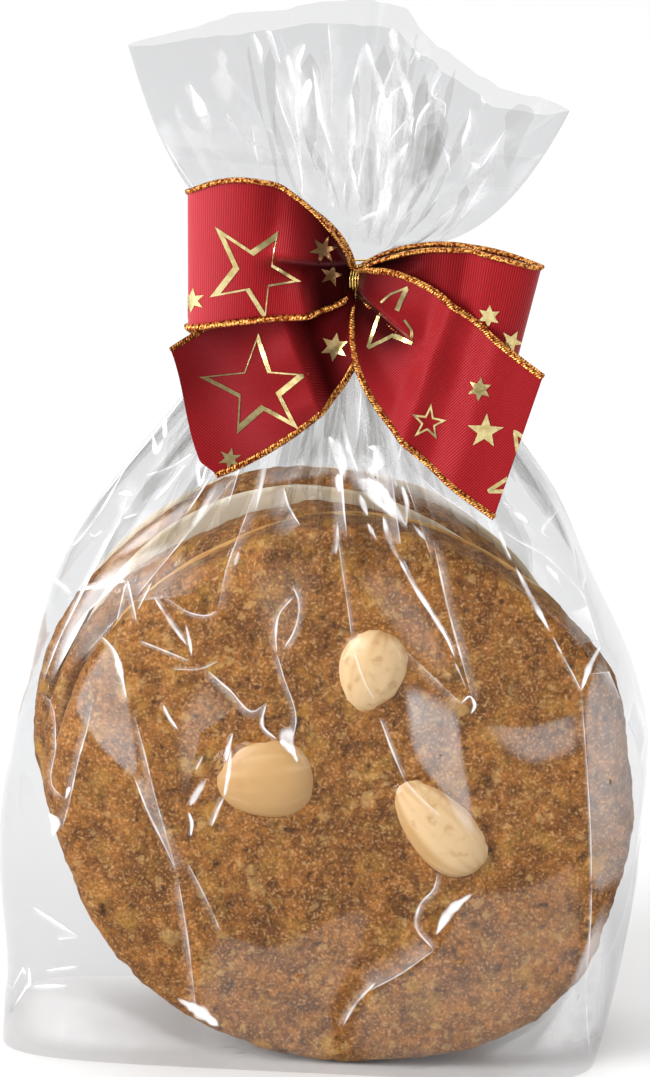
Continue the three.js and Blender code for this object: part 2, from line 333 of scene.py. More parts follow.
RIGHT_TAIL = {
    "upper": [(0.5, 0.9), (11.3, 7.6), (22.6, -6.2), (35.4, -14.7)],
    "lower": [(0.6, -2.8), (-3.0, -18.5), (12.4, -31), (27, -41)],
    "dim": 0.08,
    "near": 0.50,
    "cover": 0.0,
    "root": 1.5,
    "rise": 10.0,
    "drape": 0.06,
    "bulge": 0.0,
    "shine": 0.0,
    "slant": 0.42,
    "braids": [(0.95, 0.30), (1.0, 0.2)],
    "folds": [((13.5, -10.6), (1.2, -1.6), -4.4, 1.1, 5.5, 3.0)],
    "ridges": [(0.57, 0.05, 1.4), (0.70, 0.06, -0.6), (0.80, 0.07, 0.5)],
}
DENT_DEPTH = 1.3
# Painted highlight band of a tail: its place along the tail and its half width
TAIL_SHINE = (0.82, 0.09)
LIMB_ROWS = 260
LIMB_COLUMNS = 90
UV_LENGTH = 100
RIB_PITCH = 0.42

# Braided edges and gold wire
STRANDS = 3
STRAND_RADIUS = 0.24
STRAND_SWING = 0.40
STRAND_PITCH = 1.5
STRAND_STEP = 0.17
STRAND_OVAL = (1.25, 0.75)
STRAND_SIDES = 6
WIRE_RADIUS = 0.2
WIRE_PITCH = 0.5
WIRE_TURNS = 4
WIRE_STEPS = 260
WIRE_SIDES = 10
NECK_TURNS = 1.3
KNOT_WIRE_START = 2.6
NECK_WIRE_START = -2.0
NECK_LOOP_RADIUS = 6.4
NECK_LOOP_HEIGHT = 151.0
KNOT_LOOP_RADIUS = 2.5

# Foil stars on the ribbon: the limb, the tips in pixels or an even star's middle, radius, number of tips
# and turn in degrees, how far the outline comes in between tips, the share left open in the middle or 0,
# and how far the opening is shifted in pixels
STARS = [
    ("left_loop", [(215, 226), (279, 231), (301, 282), (265, 321), (210, 297)], 0.5, 0.80, (2.0, 1.2)),
    ("left_loop", ((193, 300), 12.5, 6, 5), 0.50, 0, (0, 0)),
    ("left_loop", ((323, 250), 14, 6, 20), 0.48, 0, (0, 0)),
    ("left_loop", ((331, 275), 12, 5, 15), 0.5, 0, (0, 0)),
    ("left_tail", [(259, 333), (308, 374), (299, 429), (237, 434), (199, 377)], 0.5, 0.82, (-2.0, -2.0)),
    ("left_tail", ((335, 347), 15, 6, 8), 0.58, 0, (0, 0)),
    ("left_tail", ((230, 459), 12, 6, 10), 0.48, 0, (0, 0)),
    ("right_tail", [(431, 403), (447, 420), (437, 439), (414, 436), (412, 414)], 0.5, 0.70, (0, 0)),
    ("right_tail", ((480, 389), 12, 6, 8), 0.58, 0, (0, 0)),
    ("right_tail", [(487, 413), (504, 427), (494, 446), (473, 445), (468, 425)], 0.5, 0, (0, 0)),
    ("right_loop", ((489, 316), 11.5, 6, 5), 0.58, 0, (0, 0)),
    ("right_loop", ((511, 341), 12, 5, 30), 0.5, 0, (0, 0)),
]
# Stars bent by a fold or cut off by the end of the right tail: width and corners of their sides in pixels
STAR_STROKES = [
    (3.4, [(356, 293), (380, 313), (368, 348)]),
    (3.4, [(368, 348), (394, 335)]),
    (5.0, [(394, 336), (413, 343)]),
    (2.4, [(413, 343), (411, 330), (404, 320)]),
    (4.6, [(397, 311), (400, 303), (407, 288)]),
    (2.2, [(408, 287), (391, 294), (381, 303)]),
    (4.0, [(518, 453), (515, 431), (523, 437)]),
    (4.0, [(508, 478), (488, 491), (504, 491)]),
]
STAR_LIFT = 0.28
STAR_CAP = 0.3
STAR_SIDE_POINTS = 6
# Painted shade on the foil stars, taken from the ribbon's painted shade between two levels
STAR_SHADE = 0.85
STAR_SHADES = (0.3, 0.95)

# Folds pressed into the front film, each with a painted highlight along it: the highlight's widest part
# and glow to one side in pixels, then points in photograph pixels
FILM_CREASES = [
    (3.5, 5, [(52, 576), (72, 593)]),
    (5.0, -6, [(78, 591), (101, 585), (127, 581)]),
    (3.2, 6, [(127, 498), (123, 513), (107, 545), (89, 579), (77, 604), (60, 639), (44, 681)]),
    (5.0, 2, [(119, 494), (126, 493), (133, 495)]),
    (3.0, 5, [(128, 580), (137, 621)]),
    (2.2, -5, [(126, 583), (117, 621)]),
    (2.6, 4, [(152, 582), (138, 610)]),
    (6.0, -5, [(154, 597), (172, 624), (187, 645)]),
    (3.5, 0, [(186, 624), (190, 642), (192, 656)]),
    (1.8, 4, [(139, 640), (191, 661)]),
    (2.0, 5, [(165, 597), (195, 614), (208, 615), (218, 610)]),
    (1.6, 12, [(218, 610), (227, 568), (242, 527), (258, 482)]),
    (3.5, 0, [(239, 551), (235, 566)]),
    (2.2, -4, [(172, 669), (203, 668), (218, 661)]),
    (2.4, 9, [(206, 669), (230, 690), (254, 711), (266, 703)]),
    (3.0, 4, [(266, 703), (263, 726), (277, 739)]),
    (9.0, 3, [(280, 740), (291, 748), (298, 762)]),
    (3.0, -7, [(292, 585), (298, 598), (294, 631), (284, 648)]),
    (2.4, 6, [(294, 596), (279, 615), (276, 635), (277, 653)]),
    (1.6, 7, [(277, 653), (283, 674), (296, 722), (292, 741)]),
    (1.8, -5, [(334, 500), (341, 560), (349, 615), (352, 640)]),
    (1.2, 3, [(354, 650), (366, 684), (374, 698)]),
    (4.5, -3, [(231, 748), (228, 776), (224, 797)]),
    (3.0, 6, [(224, 797), (217, 812), (212, 826)]),
    (6.0, 3, [(189, 812), (192, 822), (191, 836)]),
    (2.5, 4, [(203, 756), (196, 770)]),
    (6.0, 5, [(233, 733), (229, 747), (226, 762)]),
    (9.0, 6, [(207, 778), (198, 792), (190, 806)]),
    (6.5, 4, [(102, 636), (113, 648), (121, 672), (127, 700)]),
    (1.6, 7, [(133, 709), (145, 754), (156, 799), (166, 834), (178, 877)]),
    (2.4, -14, [(134, 776), (150, 816), (163, 842), (177, 872)]),
    (1.4, 8, [(178, 877), (188, 940), (196, 1010)]),
    (3.0, 3, [(163, 704), (170, 718), (178, 729)]),
    (1.8, 6, [(41, 690), (50, 701), (56, 744), (54, 788), (65, 799)]),
    (1.8, 9, [(93, 700), (87, 730), (79, 758), (70, 800), (62, 830)]),
    (6.0, 2, [(70, 786), (66, 799)]),
    (8.0, 2, [(49, 813), (56, 822), (53, 836)]),
    (1.4, 5, [(404, 560), (417, 589)]),
    (5.5, -5, [(397, 555), (412, 583), (430, 611), (448, 641), (455, 658)]),
    (3.0, 0, [(455, 662), (466, 687)]),
    (2.2, -10, [(433, 540), (449, 612), (462, 660), (473, 700)]),
    (2.0, 12, [(406, 651), (430, 674), (461, 703)]),
    (3.4, 2, [(461, 703), (470, 696), (475, 705), (471, 714)]),
    (6.5, 3, [(515, 566), (533, 601), (550, 632)]),
    (3.0, 2, [(553, 637), (562, 655)]),
    (1.8, 4, [(562, 655), (574, 677), (581, 691)]),
    (1.8, 3, [(581, 691), (586, 758), (590, 824), (591, 906), (586, 1002), (591, 1070)]),
    (5.5, 3, [(604, 640), (590, 665), (581, 691)]),
    (2.2, -5, [(380, 718), (392, 750), (404, 779)]),
    (1.4, 4, [(404, 779), (420, 797), (440, 815)]),
    (3.5, -7, [(438, 868), (434, 888), (420, 905), (416, 925), (434, 950)]),
    (9.0, 3, [(473, 893), (451, 911), (436, 935)]),
    (2.0, 26, [(434, 950), (400, 974), (366, 992)]),
    (5.0, 9, [(376, 982), (354, 1006), (343, 1026)]),
    (15.0, 0, [(177, 998), (198, 1010), (219, 1026)]),
    (1.8, 6, [(188, 863), (205, 896), (221, 931)]),
    (3.0, 5, [(32, 906), (56, 922), (79, 937)]),
    (2.2, -5, [(58, 939), (80, 937)]),
    (3.0, 4, [(33, 986), (68, 985)]),
    (4.5, 3, [(30, 967), (28, 987), (14, 987)]),
    (2.0, 4, [(46, 970), (78, 966)]),
    (3.0, 3, [(20, 958), (26, 974)]),
    (10.0, 8, [(502, 500), (514, 512), (528, 523)]),
    (4.0, 5, [(558, 510), (543, 534), (550, 538)]),
    (3.2, -6, [(499, 528), (516, 540), (543, 555), (562, 572), (592, 610), (604, 634)]),
    (12.0, 4, [(545, 565), (555, 576), (563, 590)]),
    (8.0, 4, [(499, 530), (504, 544), (511, 560)]),
    (8.0, 5, [(598, 600), (602, 618), (606, 636)]),
    (9.0, 4, [(620, 656), (628, 666), (637, 680)]),
    (13.0, 5, [(328, 436), (337, 446), (346, 468)]),
    (6.0, 4, [(342, 411), (347, 441), (359, 475)]),
    (11.0, 8, [(367, 447), (382, 450), (378, 466), (371, 474)]),
    (5.0, -4, [(381, 431), (386, 449), (384, 466)]),
    (8.0, 4, [(389, 449), (391, 466), (397, 488)]),
    (14.0, 5, [(358, 479), (377, 484), (392, 504), (408, 528)]),
    (9.0, 4, [(402, 485), (407, 502), (406, 528)]),
    (5.0, 3, [(412, 523), (426, 540)]),
    (7.0, -4, [(383, 516), (389, 539), (399, 560)]),
    (6.0, 4, [(368, 523), (377, 540)]),
    (6.0, 4, [(360, 494), (368, 516)]),
    (8.0, 3, [(338, 473), (340, 492)]),
    (4.0, 7, [(338, 520), (337, 545), (336, 554)]),
    (1.8, -12, [(402, 472), (412, 499), (415, 508), (432, 559)]),
    (3.0, 26, [(400, 455), (430, 486), (478, 520)]),
    (5.0, 9, [(147, 428), (123, 474), (86, 533), (69, 552)]),
    (12.0, 3, [(165, 414), (166, 438)]),
    (7.0, 3, [(153, 432), (158, 452), (163, 441)]),
    (3.0, 5, [(146, 476), (173, 466), (193, 453)]),
    (3.5, 5, [(187, 464), (172, 482), (156, 500)]),
    (3.0, 4, [(198, 461), (201, 484), (207, 464)]),
    (4.0, 3, [(138, 514), (123, 519)]),
    (2.5, 3, [(90, 533), (94, 536), (103, 530)]),
    (2.0, 22, [(236, 476), (208, 510), (162, 565), (135, 598)]),
    (12.0, 10, [(189, 82), (200, 104), (213, 141)]),
    (8.0, 5, [(288, 54), (296, 88)]),
    (13.0, 6, [(310, 78), (305, 108)]),
    (2.0, -14, [(326, 4), (331, 56), (332, 121)]),
    (2.0, 6, [(263, 13), (271, 32), (281, 64)]),
    (4.0, 5, [(254, 33), (260, 48), (262, 64)]),
    (10.0, 8, [(366, 41), (374, 66), (391, 118)]),
    (17.0, 9, [(391, 6), (399, 64), (409, 96), (412, 137)]),
    (15.0, 8, [(410, 142), (396, 159), (386, 195), (380, 246)]),
    (12.0, 6, [(410, 64), (418, 48), (428, 32)]),
    (4.0, 12, [(227, 112), (242, 136), (256, 145), (284, 155)]),
    (2.0, 9, [(213, 142), (241, 181)]),
    (6.0, 4, [(439, 139), (448, 159), (450, 172)]),
    (6.0, 6, [(439, 196), (429, 212), (404, 238)]),
    (3.0, 7, [(444, 69), (433, 96), (445, 104), (444, 120)]),
    (9.0, 12, [(351, 89), (353, 132), (351, 159), (362, 209)]),
    (8.0, 6, [(316, 139), (316, 169)]),
    (5.0, 5, [(326, 172), (334, 207)]),
    (5.0, 6, [(352, 226), (368, 216), (380, 211)]),
    (5.0, 5, [(442, 238), (466, 214), (482, 196)]),
    (4.0, 5, [(471, 163), (482, 169)]),
    (3.0, 3, [(484, 84), (488, 101)]),
]
CREASE_HEIGHT = 0.42
CREASE_NARROW = 1.0
CREASE_WIDE = 6.5
# Painted highlights on the film
GLINT_WIDTH = 0.72
GLINT_LIFT = 0.16
GLINT_SOFT = 0.09
GLINT_STEP = 2.0
GLINT_TAPER = 0.85
THINNEST_GLINT = 0.03
# Unevenness: level, waves of a height and size, seed, lowest and highest
GLINT_UNEVENNESS = (0.8, [(0.6, 3.5), (0.5, 1.3)], 31, 0.15, 1.3)
GLINT_BRIGHTNESS = (0.70, [(0.55, 5.0), (0.3, 1.7)], 33, 0.14, 0.96)
REFLECTION_UNEVENNESS = (1, [(0.30, 9.0), (0.15, 2.0)], 41, 0.3, 1.6)
THIN_SHARE = 0.42
THIN_WIDTHS = (0.5, 5.0)
GLOW_SHARE = 0.30
# Painted reflection patches: lift off the film, and rings and step of their outline
REFLECTION_LIFT = 0.08
REFLECTION_RINGS = 26
REFLECTION_STEP = 7.0
CLEAR_GLOSS = 0.010
LOOSE_GLOSS = 0.003
LOOSE_HEIGHT = 108

# Painted reflections on patches of front film that stand off the biscuit: how white they are, the share
# of their size over which they fade out, and corners in pixels
PAINTED_REFLECTIONS = [
    (0.20, 0.30, [(400, 676), (430, 688), (459, 703), (462, 726), (467, 767), (474, 800), (480, 850),
                  (460, 830), (446, 799), (426, 776), (413, 759), (408, 742), (403, 701)]),
    (0.12, 0.50, [(470, 720), (520, 726), (562, 716), (585, 706), (588, 752), (560, 762), (531, 771),
                  (497, 751)]),
    (0.17, 0.14, [(582, 692), (604, 640), (622, 656), (648, 740), (640, 830), (632, 878), (606, 893),
                  (591, 901), (589, 824), (586, 758)]),
    (0.125, 0.16, [(112, 632), (122, 664), (129, 700), (137, 745), (141, 786), (122, 770), (100, 750),
                   (86, 728), (71, 708), (80, 684), (94, 660)]),
    (0.06, 0.60, [(206, 669), (236, 694), (244, 708), (206, 722), (191, 745), (189, 800), (180, 806),
                  (170, 740), (178, 705)]),
    (0.03, 0.60, [(230, 560), (290, 540), (330, 560), (300, 640), (280, 700), (262, 640)]),
    (0.05, 0.60, [(340, 560), (396, 562), (430, 610), (456, 660), (462, 700), (404, 650), (370, 604)]),
    (0.040, 0.20, [(172, 1077), (200, 940), (222, 930), (262, 949), (305, 931), (350, 905), (378, 905),
                  (366, 950), (345, 985), (330, 1015), (338, 1030), (335, 1077)]),
    (0.045, 0.20, [(436, 955), (400, 975), (366, 992), (342, 1026), (345, 1077), (592, 1077), (592, 850),
                  (560, 870), (500, 890), (470, 885)]),
    (0.10, 0.50, [(60, 600), (130, 560), (220, 540), (206, 600), (150, 590), (100, 632), (60, 690)]),
    (0.55, 0.50, [(325, 436), (338, 430), (350, 466), (345, 490), (337, 470)]),
    (0.55, 0.50, [(369, 449), (382, 443), (388, 468), (378, 476)]),
    (0.14, 0.50, [(12, 990), (60, 985), (130, 1005), (190, 1040), (240, 1058), (130, 1054), (14, 1046)]),
    (0.12, 0.50, [(596, 960), (588, 1060), (500, 1068), (470, 1060), (530, 1030), (570, 990)]),
    (0.55, 0.50, [(350, 470), (372, 480), (400, 505), (412, 526), (403, 528), (384, 512), (360, 494)]),
    (0.34, 0.60, [(336, 452), (372, 446), (400, 462), (412, 490), (398, 506), (366, 500), (344, 486)]),
    (0.30, 0.40, [(199, 506), (216, 478), (240, 475), (212, 512), (181, 538)]),
    (0.16, 0.60, [(243, 474), (300, 454), (345, 448), (348, 476), (300, 480), (252, 492)]),
    (0.15, 0.50, [(86, 588), (136, 553), (181, 536), (186, 546), (136, 574), (90, 596)]),
    (0.18, 0.50, [(412, 478), (440, 488), (470, 502), (496, 516), (522, 542), (508, 545), (480, 528),
                  (450, 510), (424, 498)]),
    (0.22, 0.50, [(105, 563), (140, 533), (172, 510), (197, 495), (203, 503), (181, 522), (140, 548),
                  (111, 563)]),
    (0.34, 0.50, [(45, 690), (55, 642), (81, 591), (111, 561), (137, 548), (143, 557), (124, 580), (86, 608),
                  (64, 642), (50, 688)]),
    (0.50, 0.50, [(278, 726), (297, 723), (294, 743), (298, 757), (287, 755), (277, 741)]),
    (0.12, 0.50, [(370, 41), (395, 100), (415, 140), (384, 200), (378, 246), (356, 246), (346, 150),
                  (350, 90)]),
    (0.10, 0.50, [(425, 30), (445, 60), (450, 120), (455, 175), (430, 212), (400, 240), (410, 142),
                  (415, 80)]),
    (0.08, 0.50, [(10, 985), (60, 965), (110, 990), (172, 1050), (100, 1058), (12, 1046)]),
    (0.28, 0.50, [(588, 930), (612, 880), (618, 960), (602, 1066), (545, 1070), (520, 1060), (560, 1010)]),
]

# Seeded paths on gathered film: steps, lean and bend. A place on it has its first and last row and its
# spread from the middle
PATH_STEPS = 18
PATH_LEAN = 0.05
PATH_BEND = 0.01
FAN_FIRST_ROW = BODY_ROWS + NECK_ROWS

# Second plies of film where it is gathered: how many on the front and back, and their place
PLEAT_SEED = 37
FAN_PLEATS = (14, 8)
FAN_PLEAT_PLACE = (FAN_FIRST_ROW, FAN_FIRST_ROW + FAN_ROWS - 2, 0.19)
SHOULDER_PLEATS = (46, 26)
SHOULDER_PLEAT_PLACE = (150, FAN_FIRST_ROW - 6, 0.32)
PLEAT_LENGTHS = (0.35, 0.9)
PLEAT_HALF_WIDTHS = (0.7, 3.4)
PLEAT_LIFT = 0.05

# Painted shards of light on loose film: how many on the front and back, and their place
SHARD_SEED = 23
FAN_SHARDS = (48, 26)
FAN_SHARD_PLACE = (FAN_FIRST_ROW + 2, FAN_FIRST_ROW + FAN_ROWS - 4, 0.2)
SHOULDER_SHARDS = (40, 26)
SHOULDER_SHARD_PLACE = (166, FAN_FIRST_ROW - 8, 0.26)
SHARD_LENGTHS = (0.12, 0.5)
SHARD_TAPER = (0.6, 1.3)
SHARD_GLOW = (1.0, 5.0)
FAINT_SHARE = 0.55
FAINT_SHARD = {"half": (0.6, 2.2), "bright": (0.05, 0.18)}
BRIGHT_SHARD = {"half": (0.1, 0.42), "bright": (0.35, 0.85)}


def ease(low, high, value):
    """Runs from 0 at low to 1 at high with flat ends: 3t^2 - 2t^3 of the clamped share t."""
    share = np.clip((value - low) / (high - low), 0, 1)
    return share * share * (3 - 2 * share)


def hashed(cells, seed):
    """One number from 0 to 1 for each whole-number cell: the three numbers times large primes,
    mixed by exclusive or, scrambled by a multiply and shift, and cut to 16 bits."""
    whole = cells.astype(np.int64)
    mixed = whole[..., 0] * 73856093 ^ whole[..., 1] * 19349663 ^ whole[..., 2] * 83492791
    mixed = (mixed ^ (seed * 40503 + 977) * 2654435) & 0xFFFFFFFF
    mixed = ((mixed ^ (mixed >> 15)) * 1274126177) & 0xFFFFFFFF
    mixed = ((mixed ^ (mixed >> 13)) * 1103515245) & 0xFFFFFFFF
    return ((mixed >> 12) & 0xFFFF) / 65536.0


def noise(points, size, seed):
    """Smooth noise from -1 to 1 with bumps about size across: hashed values at the corners of a
    cubic lattice, blended by an eased share along each direction."""
    scaled = points / size
    base = np.floor(scaled)
    share = scaled - base
    share = share * share * (3 - 2 * share)
    total = np.zeros(points.shape[:-1])
    for corner in np.ndindex(2, 2, 2):
        step = np.array(corner)
        weight = np.prod(np.where(step == 1, share, 1 - share), axis=-1)
        total += weight * hashed(base + step, seed)
    return 2 * total - 1


def uneven(points, level, waves, seed, lowest, highest):
    """A level with noise added, held between two values: each wave has a height and a size."""
    total = level
    for number, (height, size) in enumerate(waves):
        total = total + height * noise(points, size, seed + number)
    return np.clip(total, lowest, highest)


def rough(points, size, octaves, seed):
    """Noise with detail: octaves of noise, each half the size and half the height of the last."""
    total = np.zeros(points.shape[:-1])
    for octave in range(octaves):
        total += noise(points, size / 2 ** octave, seed + octave) / 2 ** octave
    return total


def grains(points, size, seed):
    """Distance from each point to the nearest grain, in grain sizes, and that grain's own number:
    each cell of a cubic lattice holds one grain at a hashed place."""
    scaled = points / size
    base = np.floor(scaled)
    nearest = np.full(points.shape[:-1], 9.0)
    own = np.zeros(points.shape[:-1])
    for corner in np.ndindex(3, 3, 3):
        cell = base + np.array(corner) - 1
        place = np.stack([hashed(cell, seed + k) for k in range(3)], axis=-1)
        away = np.linalg.norm(cell + place - scaled, axis=-1)
        closer = away < nearest
        nearest = np.where(closer, away, nearest)
        own = np.where(closer, hashed(cell, seed + 3), own)
    return nearest, own


def edge_curve(points, share):
    """Point on a ribbon's edge at each share t from 0 to 1: its four points weighted by (1 - t)^3,
    3t(1 - t)^2, 3t^2(1 - t) and t^3."""
    a, b, c, d = np.array(points, float)
    t = np.asarray(share)[..., None]
    return (1 - t) ** 3 * a + 3 * t * (1 - t) ** 2 * b + 3 * t * t * (1 - t) * c + t ** 3 * d


def smooth_curve(knots, values, places):
    """Curve through the knots: cubic pieces that meet with the slopes of the neighbouring values."""
    knots = np.asarray(knots, float)
    values = np.asarray(values, float)
    slopes = np.gradient(values, knots)
    places = np.clip(places, knots[0], knots[-1])
    piece = np.clip(np.searchsorted(knots, places, side="right") - 1, 0, len(knots) - 2)
    step = knots[piece + 1] - knots[piece]
    t = (places - knots[piece]) / step
    low = (1 + 2 * t) * (1 - t) ** 2 * values[piece] + t * (1 - t) ** 2 * step * slopes[piece]
    high = t * t * (3 - 2 * t) * values[piece + 1] + t * t * (t - 1) * step * slopes[piece + 1]
    return low + high


def path_run(path):
    """Length along a path up to each of its points."""
    return np.concatenate([[0], np.cumsum(np.linalg.norm(np.diff(path, axis=0), axis=1))])


def resample(path, step):
    """The same path with points an even step apart along its length."""
    run = path_run(path)
    places = np.linspace(0, run[-1], max(3, int(run[-1] / step) + 1))
    return np.stack([np.interp(places, run, path[:, k]) for k in range(path.shape[1])], axis=1)


def smooth_path(corners, step):
    """A smooth path through corners, with points about a step apart: each coordinate is a curve over
    the run along the corners."""
    corners = np.array(corners, float)
    run = path_run(corners)
    places = np.linspace(0, run[-1], max(4, int(run[-1] / step) + 1))
    return np.stack([smooth_curve(run, corners[:, k], places) for k in range(2)], axis=1)


def unit(vectors):
    """Vectors of a list brought to length one."""
    return vectors / np.maximum(np.linalg.norm(vectors, axis=1, keepdims=True), 1e-9)


def camera_axes():
    """The camera's backward, right and up directions from its azimuth and elevation."""
    turn = math.radians(CAMERA_AZIMUTH)
    tilt = math.radians(CAMERA_ELEVATION)
    back = np.array([
        math.sin(turn) * math.cos(tilt),
        -math.cos(turn) * math.cos(tilt),
        math.sin(tilt),
    ])
    right = np.array([math.cos(turn), math.sin(turn), 0.0])
    return back, right, np.cross(back, right)


def photo_pixels(points):
    """Where points fall in the photograph: offsets along the camera's right and up directions,
    times the focal length, over the distance along its view."""
    back, right, up = camera_axes()
    offset = points - CAMERA_TARGET
    depth = CAMERA_DISTANCE - offset @ back
    return np.stack([
        PHOTO_WIDTH / 2 + FOCAL_PIXELS * (offset @ right) / depth,
        PHOTO_HEIGHT / 2 - FOCAL_PIXELS * (offset @ up) / depth,
    ], axis=-1)


def sample_grid(grid, rows, columns):
    """Values of a grid at part rows and columns: the four neighbours, weighted by nearness."""
    rows = np.clip(rows, 0, grid.shape[0] - 1.001)
    columns = np.clip(columns, 0, grid.shape[1] - 1.001)
    r = rows.astype(int)
    c = columns.astype(int)
    down = (rows - r)[..., None]
    side = (columns - c)[..., None]
    top = grid[r, c] * (1 - side) + grid[r, c + 1] * side
    low = grid[r + 1, c] * (1 - side) + grid[r + 1, c + 1] * side
    return top * (1 - down) + low * down


def find_on_grid(points, pixels):
    """Row and column of a grid of points that fall on given pixels: the nearest of every eighth grid
    point, then steps that close the gap by the pixel change along a row and a column."""
    seen = photo_pixels(points)
    coarse = seen[::8, ::8]
    away = ((coarse.reshape(-1, 2)[None] - pixels[:, None]) ** 2).sum(-1)
    nearest = np.argmin(away, axis=1)
    rows = 8.0 * (nearest // coarse.shape[1])
    columns = 8.0 * (nearest % coarse.shape[1])
    for _ in range(12):
        here = sample_grid(seen, rows, columns)
        down = sample_grid(seen, rows + 0.5, columns) - sample_grid(seen, rows - 0.5, columns)
        side = sample_grid(seen, rows, columns + 0.5) - sample_grid(seen, rows, columns - 0.5)
        miss = pixels - here
        cross = down[:, 0] * side[:, 1] - down[:, 1] * side[:, 0]
        cross = np.where(np.abs(cross) < 0.05, 0.05, cross)
        step_down = (miss[:, 0] * side[:, 1] - miss[:, 1] * side[:, 0]) / cross
        step_side = (down[:, 0] * miss[:, 1] - down[:, 1] * miss[:, 0]) / cross
        rows = np.clip(rows + np.clip(step_down, -3, 3), 0, points.shape[0] - 1)
        columns = np.clip(columns + np.clip(step_side, -3, 3), 0, points.shape[1] - 1)
    return rows, columns


def grid_normals(points, wrap):
    """Unit normals of a grid of points: the cross product of its row and column differences."""
    down = np.gradient(points, axis=0)
    side = np.roll(points, -1, 1) - np.roll(points, 1, 1) if wrap else np.gradient(points, axis=1)
    normal = np.cross(down, side)
    return normal / np.maximum(np.linalg.norm(normal, axis=2, keepdims=True), 1e-9)


def outward_normals(points, middle):
    """Unit normals of a grid closed round its columns, turned away from a middle."""
    normal = grid_normals(points, True)
    return normal * np.sign((normal * (points - middle)).sum(-1, keepdims=True))


def grid_faces(rows, columns, wrap):
    """Four-sided faces between neighbouring rows and columns, closed round the columns if wrap."""
    last = columns if wrap else columns - 1
    r, c = np.meshgrid(np.arange(rows - 1), np.arange(last), indexing="ij")
    n = (c + 1) % columns
    faces = np.stack([r * columns + c, r * columns + n, (r + 1) * columns + n, (r + 1) * columns + c], -1)
    return faces.reshape(-1, 4)


def capped_faces(rows, columns):
    """Blocks of faces of a grid closed round its columns, with a flat cap on its first and last row."""
    first = np.arange(columns)
    last = (rows - 1) * columns + first[::-1]
    return [grid_faces(rows, columns, True), first[None], last[None]]


def poled_faces(rows, columns):
    """Blocks of faces of a grid closed round its columns, whose first and last row each run to a pole,
    the two points that follow the grid's own."""
    here = np.arange(columns)
    following = (here + 1) % columns
    pole = np.full(columns, rows * columns)
    last = (rows - 1) * columns
    first_cap = np.stack([pole, following, here], axis=1)
    last_cap = np.stack([pole + 1, last + here, last + following], axis=1)
    return [grid_faces(rows, columns, True), first_cap, last_cap]


def with_poles(grid):
    """The points of a grid in one row, then the middles of its first and last row."""
    return np.concatenate([grid.reshape(-1, 3), grid[0].mean(0)[None], grid[-1].mean(0)[None]])


def join(parts):
    """Joins grids of points and their blocks of faces into one, moving each part's face numbers on."""
    starts = np.cumsum([0] + [grid.size // 3 for grid, _ in parts])
    points = np.concatenate([grid.reshape(-1, 3) for grid, _ in parts])
    faces = [block + start for (_, blocks), start in zip(parts, starts) for block in blocks]
    return points, faces


def path_directions(path, toward):
    """Unit directions at each point of a path: to its side and out of it, both square to the path, with
    out turned as near as it can be to the given direction."""
    along = unit(np.gradient(path, axis=0))
    side = unit(np.cross(along, toward))
    return side, np.cross(side, along)


def closed_tube(path, radius, sides, toward):
    """A tube: at each path point a round ring square to the path, with flat caps on both ends."""
    side, out = path_directions(path, toward)
    turn = np.linspace(0, 2 * np.pi, sides, endpoint=False)
    ring = side[:, None] * np.cos(turn)[None, :, None] + out[:, None] * np.sin(turn)[None, :, None]
    return path[:, None] + ring * radius, capped_faces(len(path), sides)


def make_piece(name, points, faces, material, node, masks=None, uv=None):
    """Puts points, blocks of faces, number masks and flat coordinates in a smooth mesh that rides on
    the root and replaces a node."""
    mesh = bpy.data.meshes.new(name)
    corners = [face for block in faces for face in block.tolist()]
    mesh.from_pydata((points.reshape(-1, 3) * MM).tolist(), [], corners)
    mesh.update()
    mesh.shade_smooth()
    for label, values in (masks or {}).items():
        mesh.attributes.new(label, "FLOAT", "POINT").data.foreach_set("value", np.ravel(values))
    if uv is not None:
        corner = np.zeros(len(mesh.loops), int)
        mesh.loops.foreach_get("vertex_index", corner)
        mesh.uv_layers.new(name="flat").data.foreach_set("uv", uv.reshape(-1, 2)[corner].ravel())
    mesh.materials.append(material)
    piece = bpy.data.objects.new(name, mesh)
    bpy.context.scene.collection.objects.link(piece)
    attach(piece, "root")
    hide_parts(node)
    return piece


# Materials


def new_material(name):
    """An empty node material, its node tree and its output."""
    material = bpy.data.materials.new(name)
    material.use_nodes = True
    tree = material.node_tree
    tree.nodes.clear()
    output = tree.nodes.new("ShaderNodeOutputMaterial")
    return material, tree, output


def add_node(tree, kind, inputs=None, **settings):
    """A node of that kind with its settings, and each input set to a value or joined to a socket."""
    node = tree.nodes.new(kind)
    for key, value in settings.items():
        setattr(node, key, value)
    for key, value in (inputs or {}).items():
        if isinstance(value, bpy.types.NodeSocket):
            tree.links.new(value, node.inputs[key])
        else:
            node.inputs[key].default_value = value
    return node


def math_node(tree, operation, first, second=0.0):
    """The output of a Math node for two numbers or sockets."""
    return add_node(tree, "ShaderNodeMath", {0: first, 1: second}, operation=operation).outputs[0]


def scaled(tree, value, factor):
    """A number times a factor."""
    return math_node(tree, "MULTIPLY", value, factor)


def mix_colour(tree, factor, first, second):
    """The colour between two colours or sockets at a factor."""
    return add_node(tree, "ShaderNodeMix", {0: factor, 6: first, 7: second}, data_type="RGBA").outputs[2]


def noise_node(tree, place, scale, detail, roughness=0.5):
    """A noise texture of a scale and detail at a place."""
    return add_node(tree, "ShaderNodeTexNoise", {
        "Vector": place, "Scale": scale, "Detail": detail, "Roughness": roughness,
    })


def ramp(tree, value, low, high):
    """A number eased from 0 at low to 1 at high."""
    node = add_node(
        tree, "ShaderNodeMapRange", {"Value": value, "From Min": low, "From Max": high},
        interpolation_type="SMOOTHSTEP",
    )
    return node.outputs["Result"]


